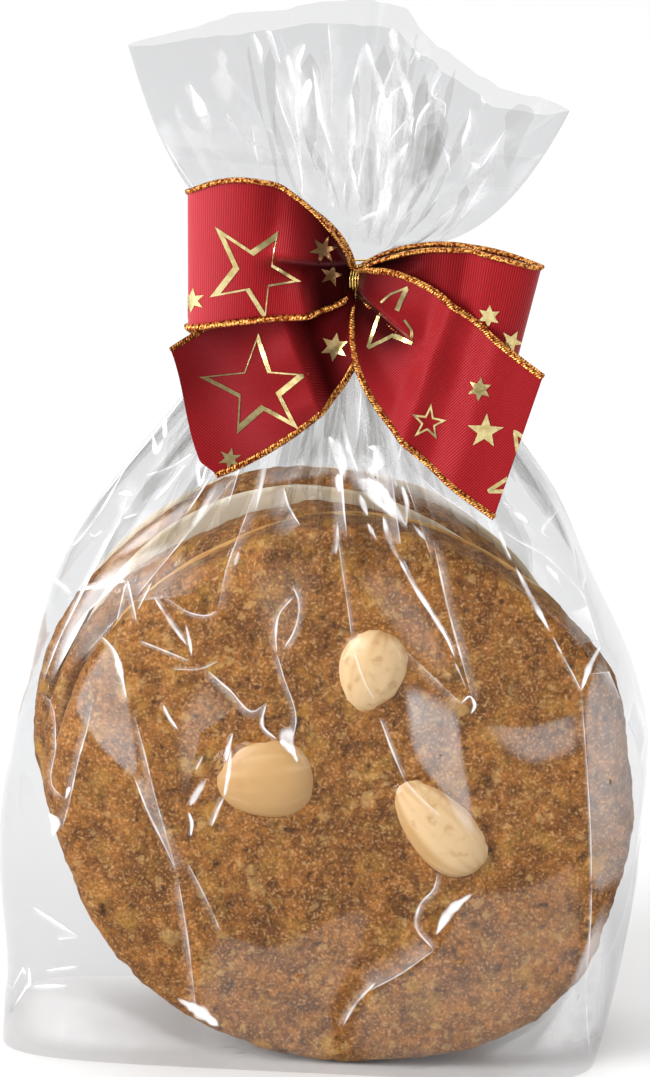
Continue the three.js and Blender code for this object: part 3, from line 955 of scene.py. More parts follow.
def mask(tree, name):
    """The number that the mesh carries under that name."""
    return add_node(tree, "ShaderNodeAttribute", attribute_name=name).outputs["Fac"]


def principled(tree, output, **inputs):
    """The Principled shader with these inputs, joined to the output."""
    shader = add_node(tree, "ShaderNodeBsdfPrincipled", {k.replace("_", " "): v for k, v in inputs.items()})
    tree.links.new(shader.outputs[0], output.inputs[0])
    return shader


def new_group(name, inputs, outputs):
    """An empty shader node group with named inputs and outputs, and its two end nodes."""
    tree = bpy.data.node_groups.new(name, "ShaderNodeTree")
    for label, kind in inputs.items():
        tree.interface.new_socket(label, in_out="INPUT", socket_type=kind)
    for label, kind in outputs.items():
        tree.interface.new_socket(label, in_out="OUTPUT", socket_type=kind)
    return tree, tree.nodes.new("NodeGroupInput").outputs, tree.nodes.new("NodeGroupOutput").inputs


def mottle_group():
    """Mottling for wafer, almond and gold: noise on Object coordinates, eased between a low and a high
    level, picks between two colours. Its height is the noise itself."""
    levels = dict.fromkeys(("Scale", "Detail", "Low", "High"), NUMBER_SOCKET)
    tones = dict.fromkeys(("First", "Second"), COLOUR_SOCKET)
    results = {"Colour": COLOUR_SOCKET, "Height": NUMBER_SOCKET}
    tree, given, result = new_group("mottle", {**levels, **tones}, results)
    place = add_node(tree, "ShaderNodeTexCoord").outputs["Object"]
    patches = noise_node(tree, place, given["Scale"], given["Detail"]).outputs[0]
    chosen = ramp(tree, patches, given["Low"], given["High"])
    tree.links.new(mix_colour(tree, chosen, given["First"], given["Second"]), result["Colour"])
    tree.links.new(patches, result["Height"])
    return tree


def painted_shade_group():
    """Painted shade on ribbon and gold: the painted shade mask picks between a colour and a dark one."""
    inputs = dict.fromkeys(("Colour", "Dark"), COLOUR_SOCKET)
    tree, given, result = new_group("painted_shade", inputs, {"Colour": COLOUR_SOCKET, "Mask": NUMBER_SOCKET})
    painted_shades = mask(tree, "painted_shade")
    tree.links.new(mix_colour(tree, painted_shades, given["Colour"], given["Dark"]), result["Colour"])
    tree.links.new(painted_shades, result["Mask"])
    return tree


def film_material(name, tint):
    """Clear film of a tint: see-through, mirroring more at a slant and where its gloss mask is high."""
    material, tree, output = new_material(name)
    facing = add_node(tree, "ShaderNodeLayerWeight", {"Blend": 0.5}).outputs["Facing"]
    slant = scaled(tree, math_node(tree, "POWER", facing, SLANT_POWER), SLANT_GLOSS)
    gloss = math_node(tree, "ADD", slant, mask(tree, "gloss"))
    clear = add_node(tree, "ShaderNodeBsdfTransparent", {"Color": tint})
    mirror = add_node(tree, "ShaderNodeBsdfPrincipled", {
        "Base Color": MIRROR_COLOUR, "Metallic": 1.0, "Roughness": 0.07,
    })
    mixed = add_node(tree, "ShaderNodeMixShader", {0: gloss, 1: clear.outputs[0], 2: mirror.outputs[0]})
    tree.links.new(mixed.outputs[0], output.inputs[0])
    return material


def glint_material():
    """Painted highlights and reflections on the film: white by its own mask, and see-through elsewhere."""
    material, tree, output = new_material("painted_film_highlights")
    clear = add_node(tree, "ShaderNodeBsdfTransparent", {"Color": WHITE})
    bright = add_node(tree, "ShaderNodeBsdfPrincipled", {
        "Base Color": GLINT_COLOUR, "Roughness": 0.3, "Specular IOR Level": 0.8,
    })
    white = mask(tree, "white")
    mixed = add_node(tree, "ShaderNodeMixShader", {0: white, 1: clear.outputs[0], 2: bright.outputs[0]})
    tree.links.new(mixed.outputs[0], output.inputs[0])
    return material


def scattered_bits(tree, place, scale, pick, reach):
    """Mask of scattered bits: cells of a cell texture, kept where the cell's random number is over
    the pick, and round its middle out to the reach. Also gives the cells' second random number."""
    cells = add_node(tree, "ShaderNodeTexVoronoi", {"Vector": place, "Scale": scale})
    lot = add_node(tree, "ShaderNodeSeparateColor", {0: cells.outputs["Color"]})
    chosen = ramp(tree, lot.outputs[0], pick, pick + 0.02)
    near = ramp(tree, cells.outputs["Distance"], reach, reach * 0.4)
    return math_node(tree, "MULTIPLY", chosen, near), lot.outputs[1]


def nudged(tree, place, stir, amount):
    """A place moved by a noise colour times an amount in metres."""
    moved = add_node(tree, "ShaderNodeVectorMath", {0: stir, 1: (amount,) * 3}, operation="MULTIPLY")
    return add_node(tree, "ShaderNodeVectorMath", {0: place, 1: moved.outputs[0]}, operation="ADD").outputs[0]


def biscuit_material():
    """Baked crumb: brown mottled at every scale from broad patches to fine grain, round crumbs of their
    own tone, tan and amber bits, dark specks, and painted shade in pits, crevices and on the walls. Each
    layer is a mask, its strength and a colour."""
    material, tree, output = new_material("lebkuchen")
    place = add_node(tree, "ShaderNodeTexCoord").outputs["Object"]
    stir = noise_node(tree, place, 420.0, 3.0).outputs["Color"]
    warped = nudged(tree, place, stir, 0.0009)
    ragged = nudged(tree, place, stir, 0.0032)
    broad = noise_node(tree, place, 38.0, 2.0).outputs[0]
    crumb = noise_node(tree, place, 210.0, 4.0, 0.72).outputs[0]
    patch = noise_node(tree, ragged, 150.0, 2.0).outputs[0]
    grain = noise_node(tree, place, 1900.0, 2.0).outputs[0]
    cells = add_node(tree, "ShaderNodeTexVoronoi", {"Vector": warped, "Scale": 900.0})
    own = add_node(tree, "ShaderNodeSeparateColor", {0: cells.outputs["Color"]}).outputs[0]
    gap = cells.outputs["Distance"]
    tone = scaled(tree, math_node(tree, "SUBTRACT", broad, 0.5), 0.24)
    tone = math_node(tree, "ADD", tone, crumb)
    tone = math_node(tree, "ADD", tone, scaled(tree, math_node(tree, "SUBTRACT", own, 0.5), 0.12))
    base = mix_colour(tree, ramp(tree, tone, 0.30, 0.72), CRUMB_DARK, CRUMB_LIGHT)
    small, _ = scattered_bits(tree, ragged, 520.0, 0.86, 0.6)
    large, lot = scattered_bits(tree, ragged, 240.0, 0.92, 0.62)
    specks, _ = scattered_bits(tree, warped, 620.0, 0.93, 0.45)
    layers = [
        (ramp(tree, patch, 0.50, 0.72), 0.55, CRUMB_OCHRE),
        (ramp(tree, grain, 0.52, 0.70), 0.52, CRUMB_PALE),
        (ramp(tree, grain, 0.46, 0.28), 0.46, CRUMB_GAP_AND_SHADE),
        (ramp(tree, gap, 0.5, 0.85), 0.24, CRUMB_GAP_AND_SHADE),
        (small, 0.42, NUT_COLOUR),
        (large, 0.46, mix_colour(tree, ramp(tree, lot, 0.45, 0.55), NUT_COLOUR, AMBER_COLOUR)),
        (specks, 0.7, CRUMB_GAP_AND_SHADE),
        # Painted shade in pits, crevices and on the walls
        (mask(tree, "painted_crumb_shade"), 0.7, CRUMB_GAP_AND_SHADE),
        (mask(tree, "line"), 0.8, RIM_COLOUR),
    ]
    for where, strength, tint in layers:
        base = mix_colour(tree, scaled(tree, where, strength), base, tint)
    relief = math_node(tree, "ADD", crumb, scaled(tree, grain, 0.4))
    relief = math_node(tree, "SUBTRACT", relief, scaled(tree, gap, 0.35))
    bump = add_node(tree, "ShaderNodeBump", {"Strength": 0.55, "Distance": 0.0008, "Height": relief})
    principled(tree, output, Base_Color=base, Roughness=0.55, Specular_IOR_Level=0.16, Normal=bump.outputs[0])
    return material


def wafer_material(name, mottle, pale, browned):
    """Baking wafer: matt, between a pale and a browned tone in soft patches."""
    material, tree, output = new_material(name)
    patches = add_node(tree, "ShaderNodeGroup", {
        "Scale": 130.0, "Detail": 4.0, "Low": 0.35, "High": 0.7, "First": pale, "Second": browned,
    }, node_tree=mottle)
    principled(tree, output, Base_Color=patches.outputs["Colour"], Roughness=0.8)
    return material


def almond_material(mottle):
    """Blanched almond: cream with tan lengthwise streaks by its own mask, darker ends and soft spots."""
    material, tree, output = new_material("almond")
    base = mix_colour(tree, ramp(tree, mask(tree, "streak"), 0.2, 0.95), ALMOND_CREAM, ALMOND_TAN)
    spots = add_node(tree, "ShaderNodeGroup", {
        "Scale": 420.0, "Detail": 4.0, "Low": 0.50, "High": 0.80, "First": base, "Second": ALMOND_SPOT,
    }, node_tree=mottle)
    principled(tree, output, Base_Color=spots.outputs["Colour"], Roughness=0.42)
    return material


def ribbon_material(painted_shade):
    """Ribbed satin: crimson with fine ribs across the width, soft sheen and faint slubs, with a painted
    highlight where its shine mask is high and painted shade where its painted shade mask is high."""
    material, tree, output = new_material("red_ribbon")
    flat = add_node(tree, "ShaderNodeUVMap", uv_map="flat").outputs[0]
    split = add_node(tree, "ShaderNodeSeparateXYZ", {0: flat})
    rib = math_node(tree, "SINE", scaled(tree, split.outputs[0], 2 * math.pi * UV_LENGTH / RIB_PITCH))
    slub = noise_node(tree, flat, 130.0, 3.0).outputs[0]
    shade = ramp(tree, math_node(tree, "ADD", rib, slub), -0.6, 1.5)
    base = mix_colour(tree, shade, RIBBON_DARK, RIBBON_RED)
    # Painted highlight where the shine mask is high
    base = mix_colour(tree, mask(tree, "shine"), base, RIBBON_SHINE)
    painted_shades = add_node(tree, "ShaderNodeGroup", {"Colour": base, "Dark": RIBBON_PAINTED_SHADE}, node_tree=painted_shade)
    # Its gloss fades out under the painted shade
    gloss = scaled(tree, math_node(tree, "SUBTRACT", 1.0, painted_shades.outputs["Mask"]), 0.45)
    bump = add_node(tree, "ShaderNodeBump", {"Strength": 0.35, "Distance": 0.0001, "Height": rib})
    principled(tree, output, Base_Color=painted_shades.outputs["Colour"], Roughness=0.42, Specular_IOR_Level=gloss,
               Specular_Tint=RIBBON_GLOSS, Sheen_Weight=0.20, Sheen_Roughness=0.35,
               Sheen_Tint=RIBBON_SHEEN, Normal=bump.outputs[0])
    return material


def gold_material(name, mottle, painted_shade, tones, roughness, scale, spread):
    """Metallic gold between two tones, mottled at the given scale and more sharply for a small spread,
    and darkened by painted shade where its painted shade mask is high."""
    material, tree, output = new_material(name)
    mottled = add_node(tree, "ShaderNodeGroup", {
        "Scale": scale, "Detail": 3.0, "Low": 0.5 - spread, "High": 0.5 + spread,
        "First": tones[0], "Second": tones[1],
    }, node_tree=mottle)
    painted_shades = add_node(tree, "ShaderNodeGroup", {
        "Colour": mottled.outputs["Colour"], "Dark": GOLD_PAINTED_SHADE,
    }, node_tree=painted_shade)
    bump = add_node(tree, "ShaderNodeBump", {
        "Strength": 0.25, "Distance": 0.0002, "Height": mottled.outputs["Height"],
    })
    principled(tree, output, Base_Color=painted_shades.outputs["Colour"], Metallic=1.0, Roughness=roughness,
               Normal=bump.outputs[0])
    return material


def floor_material():
    """Plain pale floor."""
    material, tree, output = new_material("pale_floor")
    principled(tree, output, Base_Color=FLOOR_COLOUR, Roughness=0.9)
    return material


# Film


def almond_push(x, z):
    """How far the almonds push the film out: a rounded bump over each almond's slightly larger oval."""
    push = np.zeros(np.shape(x))
    for middle, height, half_long, half_wide, turn in ALMONDS:
        angle = math.radians(turn)
        long_way = (x - middle) * math.cos(angle) + (z - height) * math.sin(angle)
        wide_way = (z - height) * math.cos(angle) - (x - middle) * math.sin(angle)
        reach = (long_way / (half_long * ALMOND_SKIRT)) ** 2 + (wide_way / (half_wide * ALMOND_SKIRT)) ** 2
        inside = np.clip(1 - reach, 0, 1)
        push = np.maximum(push, ALMOND_PUSH * np.sqrt(inside) * np.minimum(1, 2 * inside))
    return push


def ring_point(angle, z):
    """A point on the bag's wall: a superellipse ring whose sizes follow the sections' heights."""
    across = -np.cos(angle)
    depth = -np.sin(angle)
    middle, half_width, front, back, square = [
        smooth_curve(BAG_SECTIONS[:, 0], BAG_SECTIONS[:, k], z) for k in range(1, 6)
    ]
    reach = (np.abs(across) ** square + np.abs(depth) ** square) ** (-1 / square)
    x = middle + half_width * across * reach
    y = np.where(depth < 0, front, back) * depth * reach
    return np.stack([x, y, z], axis=-1)


def fan_point(angle, rise):
    """A point on the loose film above the tie: an oval ring that widens by a power of the rise and
    ends on the cut edge's height."""
    across = -np.cos(angle)
    depth = -np.sin(angle)
    spread = np.where(across < 0, FAN_SPREAD_LEFT, FAN_SPREAD_RIGHT)
    flare = np.where(across < 0, FAN_FLARE_LEFT, FAN_FLARE_RIGHT)
    half_width = NECK_RADIUS + (spread - NECK_RADIUS) * rise ** flare
    edge = np.interp(NECK_X + across * spread, FAN_EDGE_X, FAN_EDGE_Z)
    half_depth = NECK_RADIUS + FAN_DEPTH_GROWTH * rise
    x = NECK_X + across * half_width
    z = NECK_TOP + (edge - NECK_TOP) * rise
    return np.stack([x, depth * half_depth, z], axis=-1)


def segment_distance(x, z, start, end):
    """Distance of points to a straight piece in the X-Z plane, and the share along it."""
    step = np.array(end, float) - np.array(start, float)
    share = np.clip(((x - start[0]) * step[0] + (z - start[1]) * step[1]) / max(step @ step, 1e-9), 0, 1)
    return np.hypot(x - start[0] - share * step[0], z - start[1] - share * step[1]), share


def crease_field(points, lines):
    """Sum of folds: each is highest on its line, falls evenly to its narrow width on one side and to
    its wide width on the other, and fades at both ends."""
    x = points[..., 0]
    z = points[..., 2]
    total = np.zeros(x.shape)
    for path, height, narrow, wide in lines:
        highest = np.zeros(x.shape)
        count = len(path) - 1
        for number in range(count):
            start, end = path[number], path[number + 1]
            away, share = segment_distance(x, z, start, end)
            side = (end[0] - start[0]) * (z - start[1]) - (end[1] - start[1]) * (x - start[0])
            profile = np.maximum(0, 1 - away / np.where(side > 0, narrow, wide))
            run = (number + share) / count
            highest = np.maximum(highest, profile * ease(0, 0.3, run) * ease(1, 0.75, run))
        total += height * highest
    return total


def radiating_folds(draw, count, upward):
    """Seeded fold lines that run out from the neck: up to the cut edge, or down over the shoulder."""
    ranges = FAN_FOLD if upward else SHOULDER_FOLD
    lines = []
    for number in range(count):
        side = 2 * (number + draw.uniform(0.1, 0.9)) / count - 1
        if upward:
            across = NECK_X + side * (FAN_SPREAD_LEFT if side < 0 else FAN_SPREAD_RIGHT)
            end = np.array([across, np.interp(across, FAN_EDGE_X, FAN_EDGE_Z)])
        else:
            end = np.array([NECK_X - SHOULDER_SHIFT + side * SHOULDER_REACH, draw.uniform(*SHOULDER_ENDS)])
        start = np.array([NECK_X + FOLD_ROOT * side, NECK_TOP if upward else NECK_LOW])
        begin = draw.uniform(*ranges["begin"])
        stop = draw.uniform(*ranges["stop"])
        height = draw.uniform(*ranges["height"])
        if upward:
            height = height * draw.choice([-1, 1])
        sizes = draw.uniform(*ranges["narrow"]), draw.uniform(*ranges["wide"])
        if draw.random() < 0.5:
            sizes = sizes[::-1]
        line = end - start
        bend = np.array([draw.uniform(-FOLD_BEND, FOLD_BEND), 0])
        path = [start + begin * line, start + 0.5 * (begin + stop) * line + bend, start + stop * line]
        lines.append((path, height, *sizes))
    return lines


def film_grid():
    """The whole film as one grid from the middle of the base up to the cut edge: base rings, walls,
    neck and fan, with columns spaced evenly round the widest ring and closer at the front."""
    sweep = np.linspace(0, 2 * np.pi, SWEEP_STEPS)
    ring = ring_point(sweep, np.full(sweep.shape, WIDEST_HEIGHT))
    step = np.linalg.norm(np.diff(ring, axis=0), axis=1)
    step = step * np.where(np.sin(sweep[1:]) > 0, FRONT_DENSITY, 1)
    run = np.concatenate([[0], np.cumsum(step)])
    angle = np.interp(np.linspace(0, run[-1], FILM_COLUMNS, endpoint=False), run, sweep)
    angles, heights = np.meshgrid(angle, np.linspace(0, NECK_LOW, BODY_ROWS))
    body = ring_point(angles, heights)
    foot = body[0]
    middle = np.array([foot[:, 0].mean(), foot[:, 1].mean(), 0.0])
    shares = np.linspace(*BASE_SHARES, BASE_ROWS)[:, None, None]
    base = middle + shares * (foot - middle)[None]
    angles, heights = np.meshgrid(angle, np.linspace(NECK_LOW, NECK_TOP, NECK_ROWS + 2)[1:-1])
    neck = np.stack([
        NECK_X - NECK_RADIUS * np.cos(angles), -NECK_RADIUS * np.sin(angles), heights,
    ], axis=-1)
    angles, rises = np.meshgrid(angle, np.linspace(0, 1, FAN_ROWS) ** FAN_ROW_POWER)
    fan = fan_point(angles, rises)
    points = np.concatenate([base, body, neck, fan])
    points[:, :, 2] += BASE_LIFT
    front = np.repeat((np.sin(angle) > 0)[None], len(points), axis=0)
    return points, outward_normals(points, BAG_MIDDLE), front


def dent_depth(dents, degrees):
    """How far the dents of a lebkuchen draw its rim in at angles in degrees: a sum of bell curves."""
    return sum(depth * np.exp(-((degrees - place) / width) ** 2) for place, width, depth in dents)


def clear_of_biscuits(points, front):
    """Holds the film off the stack: over the front lebkuchen at least a clearance before its dome and
    round its rim, and at the back at least a clearance behind the last wafer."""
    x, y, z = points[..., 0], points[..., 1], points[..., 2]
    middle, radius, back, thickness, dents = FRONT_BISCUIT
    reach = np.hypot(x - middle, z - radius - BISCUIT_LIFT)
    degrees = np.degrees(np.arctan2(z - radius - BISCUIT_LIFT, x - middle)) % 360
    reach = reach + np.minimum(0, BULGE_ROOM * dent_depth(dents, degrees))
    flat = radius - RIM_ROUND
    dome = thickness - DOME_FALL * (np.minimum(reach, flat) / flat) ** 4
    round_share = np.clip((reach - flat) / (RIM_ROUND + RIM_SLACK), 0, 1)
    outside = np.maximum(0, reach - radius - RIM_SLACK)
    dome = dome - RIM_FALL * (1 - np.sqrt(1 - round_share ** 2)) - FILM_SLOPE * outside
    ahead = np.minimum(y, back - dome - FILM_CLEARANCE)
    middle, radius, back, _, _ = BACK_BISCUIT
    away = np.hypot(x - middle, z - radius - BISCUIT_LIFT) - radius
    behind = np.maximum(y, y + ease(*BACK_COVER, away) * (back + WAFER_THICKNESS + BACK_CLEARANCE - y))
    return np.stack([x, np.where(front, ahead, behind), z], axis=-1)


def film_side(grid, front, side):
    """The walls and fan of a film grid on one side: the front, where the camera sees it, or the back."""
    return grid[BASE_ROWS:, np.where(front[0] == side)[0]]


def pressed_folds(points, front):
    """The listed creases as lines across and up, found where their pixels fall on the front film."""
    sheet = film_side(points, front, True)
    lines = []
    for _, _, pixels in FILM_CREASES:
        rows, columns = find_on_grid(sheet, np.array(pixels, float))
        place = sample_grid(sheet, rows, columns)
        lines.append((place[:, [0, 2]], CREASE_HEIGHT, CREASE_NARROW, CREASE_WIDE))
    return lines


def fold_film(points, normal, front):
    """Pushes the film out over almonds, along seeded folds on the shoulders and fan, along the listed
    creases at the front, and by a faint slackness all over."""
    draw = np.random.default_rng(FOLD_SEED)
    moved = points.copy()
    z = points[..., 2]
    fan_start = BASE_ROWS + BODY_ROWS + NECK_ROWS
    fan = slice(fan_start, None)
    shoulder = slice(BASE_ROWS + BODY_ROWS // 2, fan_start)
    fan_fade = ease(*FAN_FOLD_GROWS, z[fan])
    shoulder_fade = ease(*SHOULDER_FOLD_GROWS, z[shoulder]) * ease(*SHOULDER_FOLD_DIES, z[shoulder])
    for side, turn in ((True, -1), (False, 1)):
        push = crease_field(points[fan], radiating_folds(draw, FAN_FOLDS, True)) * fan_fade
        moved[fan, :, 1] += np.where(front[fan] == side, turn * push, 0)
        push = crease_field(points[shoulder], radiating_folds(draw, SHOULDER_FOLDS, False)) * shoulder_fade
        moved[shoulder, :, 1] += np.where(front[shoulder] == side, turn * push, 0)
    slack = rough(points, SLACK_SIZE, 3, SLACK_SEED) * SLACK_HEIGHT
    slack = slack * ease(*SLACK_GROWS, z) * ease(*SLACK_DIES, z)
    moved += normal * np.maximum(slack, SLACK_DEEPEST)[..., None]
    pressed = crease_field(points[BASE_ROWS:], pressed_folds(points, front))
    moved[BASE_ROWS:, :, 1] -= np.where(front[BASE_ROWS:], pressed, 0)
    moved[..., 1] -= np.where(front, almond_push(points[..., 0], z), 0)
    return clear_of_biscuits(moved, front)


def strip(sheet, normal, rows, columns, offsets, lift):
    """A strip on the film: at each part row and column of a path, points off to its sides by the
    given lengths, worked out with the size of a row and a column there, and lifted off the film."""
    row_step = sample_grid(sheet, rows + 0.5, columns) - sample_grid(sheet, rows - 0.5, columns)
    column_step = sample_grid(sheet, rows, columns + 0.5) - sample_grid(sheet, rows, columns - 0.5)
    row_size = np.maximum(np.linalg.norm(row_step, axis=1), 0.02)
    column_size = np.maximum(np.linalg.norm(column_step, axis=1), 0.02)
    down = np.gradient(rows) * row_size
    side = np.gradient(columns) * column_size
    length = np.maximum(np.hypot(down, side), 1e-6)
    r = rows[:, None] - (side / length / row_size)[:, None] * offsets
    c = columns[:, None] + (down / length / column_size)[:, None] * offsets
    return sample_grid(sheet, r, c) + lift * sample_grid(normal, r, c)


def glint(half, glow, bright):
    """Cross section of a painted glint at each station: offsets and whiteness of five points, from a soft
    edge over a bright core to a glow that dies out on one side."""
    core = 0.55 * half
    edge = 1.35 * half + GLINT_SOFT
    reach = np.maximum(abs(glow) - 2 * half, GLINT_SOFT)
    offsets = np.stack([-edge, -core, core, edge, edge + reach], axis=1)
    white = np.stack([0 * bright, bright, bright, GLOW_SHARE * bright, 0 * bright], axis=1)
    if glow < 0:
        return -offsets[:, ::-1], white[:, ::-1]
    return offsets, white


def crease_glints(sheet, normal):
    """A painted highlight along each listed crease, thin at both ends and uneven in width and brightness."""
    scale = FOCAL_PIXELS / CAMERA_DISTANCE
    parts = []
    for width, glow, pixels in FILM_CREASES:
        rows, columns = find_on_grid(sheet, smooth_path(pixels, GLINT_STEP))
        line = sample_grid(sheet, rows, columns)
        share = np.linspace(0, 1, len(line))
        taper = np.sin(np.pi * np.clip(share, 0.01, 0.99)) ** GLINT_TAPER
        bright = uneven(line, *GLINT_BRIGHTNESS) * (THIN_SHARE + (1 - THIN_SHARE) * ease(*THIN_WIDTHS, width))
        half = 0.5 * GLINT_WIDTH * width / scale * taper * uneven(line, *GLINT_UNEVENNESS)
        half = np.maximum(half, THINNEST_GLINT)
        offsets, white = glint(half, glow / scale, bright * np.minimum(1, 3 * taper))
        parts.append((strip(sheet, normal, rows, columns, offsets, GLINT_LIFT), white))
    return parts


def gathered_path(draw, sheet, place, lengths):
    """A seeded path that runs up or down the folds of loose film, at a place given by its first and last
    row and its spread from the middle: it keeps near one column and leans and bends a little."""
    rows_low, rows_high, spread = place
    width = sheet.shape[1]
    centre = width * np.clip(0.5 + spread * draw.normal(), 0.04, 0.96)
    length = (rows_high - rows_low) * draw.uniform(*lengths)
    start = draw.uniform(rows_low, rows_high - length)
    share = np.linspace(0, 1, PATH_STEPS)
    lean = draw.uniform(-PATH_LEAN, PATH_LEAN)
    bend = draw.uniform(-PATH_BEND, PATH_BEND)
    columns = centre + width * (lean * share + bend * np.sin(5 * share))
    return start + length * share, np.clip(columns, 2, width - 3), share


def seeded_glints(draw, sheet, normal, count, place):
    """Seeded painted shards of light on loose film: each is wide and faint or narrow and bright, and glows
    to one side."""
    parts = []
    for _ in range(count):
        rows, columns, share = gathered_path(draw, sheet, place, SHARD_LENGTHS)
        kind = FAINT_SHARD if draw.random() < FAINT_SHARE else BRIGHT_SHARD
        half = draw.uniform(*kind["half"])
        bright = draw.uniform(*kind["bright"])
        taper = np.sin(np.pi * np.clip(share, 0.02, 0.98)) ** draw.uniform(*SHARD_TAPER)
        glow = draw.uniform(*SHARD_GLOW) * draw.choice([-1, 1])
        offsets, white = glint(half * taper, glow, bright * np.minimum(1, 3 * taper))
        parts.append((strip(sheet, normal, rows, columns, offsets, GLINT_LIFT), white))
    return parts


def film_pleats(points, normal, front):
    """Second plies of film on the fan and shoulders: seeded long narrow sheets on the film that widen
    away from the neck, so the film is darker where they lie."""
    draw = np.random.default_rng(PLEAT_SEED)
    parts = []
    for side, fan_count, shoulder_count in zip((True, False), FAN_PLEATS, SHOULDER_PLEATS):
        sheet = film_side(points, front, side)
        up = film_side(normal, front, side)
        for count, place in ((fan_count, FAN_PLEAT_PLACE), (shoulder_count, SHOULDER_PLEAT_PLACE)):
            for _ in range(count):
                rows, columns, share = gathered_path(draw, sheet, place, PLEAT_LENGTHS)
                away = share if place == FAN_PLEAT_PLACE else 1 - share
                half = draw.uniform(*PLEAT_HALF_WIDTHS) * (0.25 + 0.75 * away)
                half = half * np.minimum(1, 8 * share * (1 - share) + 0.02)
                offsets = half[:, None] * np.array([-1.0, -0.3, 0.3, 1.0])
                ply = strip(sheet, up, rows, columns, offsets, PLEAT_LIFT)
                parts.append((ply, [grid_faces(*ply.shape[:2], False)]))
    return join(parts)


def rounded(corners):
    """A closed outline with its corners cut twice: each side gives the points a quarter and three
    quarters of the way along it."""
    for _ in range(2):
        following = np.roll(corners, -1, axis=0)
        cut = [0.75 * corners + 0.25 * following, 0.25 * corners + 0.75 * following]
        corners = np.stack(cut, axis=1).reshape(-1, 2)
    return corners


def reflection_patches(sheet, normal):
    """A thin sheet of painted reflection over each listed patch: its rounded outline drawn in towards its
    middle in steps, on the film, with whiteness that varies softly and fades out towards the outline."""
    parts = []
    shares = np.linspace(0.03, 1, REFLECTION_RINGS)
    for level, fade, corners in PAINTED_REFLECTIONS:
        corners = rounded(np.array(corners, float))
        contour = resample(np.concatenate([corners, corners[:1]]), REFLECTION_STEP)[:-1]
        middle = corners.mean(axis=0)
        pixels = middle + shares[:, None, None] * (contour - middle)[None]
        rows, columns = find_on_grid(sheet, pixels.reshape(-1, 2))
        place = sample_grid(sheet, rows, columns) + REFLECTION_LIFT * sample_grid(normal, rows, columns)
        place = place.reshape(*pixels.shape[:2], 3)
        white = level * uneven(place, *REFLECTION_UNEVENNESS)
        parts.append((place, white * ease(1.0, 1.0 - fade, shares)[:, None]))
    return parts


def film_glints(points, normal, front):
    """All painted highlights and reflections on the film, as one set of points, faces and whiteness."""
    draw = np.random.default_rng(SHARD_SEED)
    sheet = film_side(points, front, True)
    up = film_side(normal, front, True)
    strips = crease_glints(sheet, up)
    reflections = reflection_patches(sheet, up)
    for side, fan_count, shoulder_count in zip((True, False), FAN_SHARDS, SHOULDER_SHARDS):
        sheet = film_side(points, front, side)
        up = film_side(normal, front, side)
        strips += seeded_glints(draw, sheet, up, fan_count, FAN_SHARD_PLACE)
        strips += seeded_glints(draw, sheet, up, shoulder_count, SHOULDER_SHARD_PLACE)
    meshes = [(place, [grid_faces(*place.shape[:2], False)]) for place, _ in strips]
    meshes += [(place, [grid_faces(*place.shape[:2], True)]) for place, _ in reflections]
    flat, faces = join(meshes)
    return flat, faces, np.concatenate([white.ravel() for _, white in strips + reflections])


def make_film(name, points, faces, material, masks):
    """A piece of film, which throws no shadow."""
    make_piece(name, points, faces, material, "bag", masks).visible_shadow = False


def build_film(wall_film, base_film, pleat_film, glint_film):
    """The film in four pieces, one above the other, its pleats, and the painted highlights and reflections
    on it. The base is closed by a point in its middle."""
    points, normal, front = film_grid()
    points = fold_film(points, normal, front)
    gloss = np.where(points[..., 2] > LOOSE_HEIGHT, LOOSE_GLOSS, CLEAR_GLOSS)
    rows, columns = points.shape[:2]
    fan = BASE_ROWS + BODY_ROWS + NECK_ROWS - 1
    base = points[:BASE_ROWS + 1]
    rings, cap, _ = poled_faces(BASE_ROWS + 1, columns)
    base_points = with_poles(base)[:-1]
    base_gloss = np.append(gloss[:BASE_ROWS + 1].ravel(), CLEAR_GLOSS)
    make_film("film_base", base_points, [rings[:, ::-1], cap[:, [0, 2, 1]]], base_film, {"gloss": base_gloss})
    bands = {
        "film_lower": slice(BASE_ROWS, LOWER_ROWS),
        "film_upper": slice(LOWER_ROWS - 1, fan + 1),
        "film_fan": slice(fan, rows),
    }
    for name, band in bands.items():
        faces = grid_faces(band.stop - band.start, columns, True)[:, ::-1]
        make_film(name, points[band], [faces], wall_film, {"gloss": gloss[band]})
    flat, faces = film_pleats(points, normal, front)
    make_film("film_pleats", flat, faces, pleat_film, {"gloss": np.full(len(flat), LOOSE_GLOSS)})
    flat, faces, white = film_glints(points, normal, front)
    make_film("film_glints", flat, faces, glint_film, {"white": white})


# Contents


def biscuit_profile(radius, thickness, share):
    """Reach from the middle and height off the back of a lebkuchen's outline, by the share of the way
    from the middle of its front to the middle of its back: a flat dome, a quarter round rim, a wall that
    draws in, and the back."""
    flat = radius - RIM_ROUND
    wall = thickness - DOME_FALL - RIM_FALL
    swing = np.pi / 2 * np.clip((share - DOME_END) / (RIM_END - DOME_END), 0, 1)
    down = np.clip((share - RIM_END) / (WALL_END - RIM_END), 0, 1)
    inner = np.clip((share - WALL_END) / (1 - WALL_END), 0, 1)
    reach = np.clip(share / DOME_END, 0.01, 1) * flat
    reach = np.where(share > DOME_END, flat + RIM_ROUND * np.sin(swing), reach)
    reach = np.where(share > RIM_END, radius - WALL_DRAW * down ** 2, reach)
    reach = np.where(share > WALL_END, (radius - WALL_DRAW) * (1 - 0.98 * inner), reach)
    height = thickness - DOME_FALL * (np.minimum(reach, flat) / flat) ** 4
    height = np.where(share > DOME_END, wall + RIM_FALL * np.cos(swing), height)
    height = np.where(share > RIM_END, wall * (1 - down), height)
    return reach, height


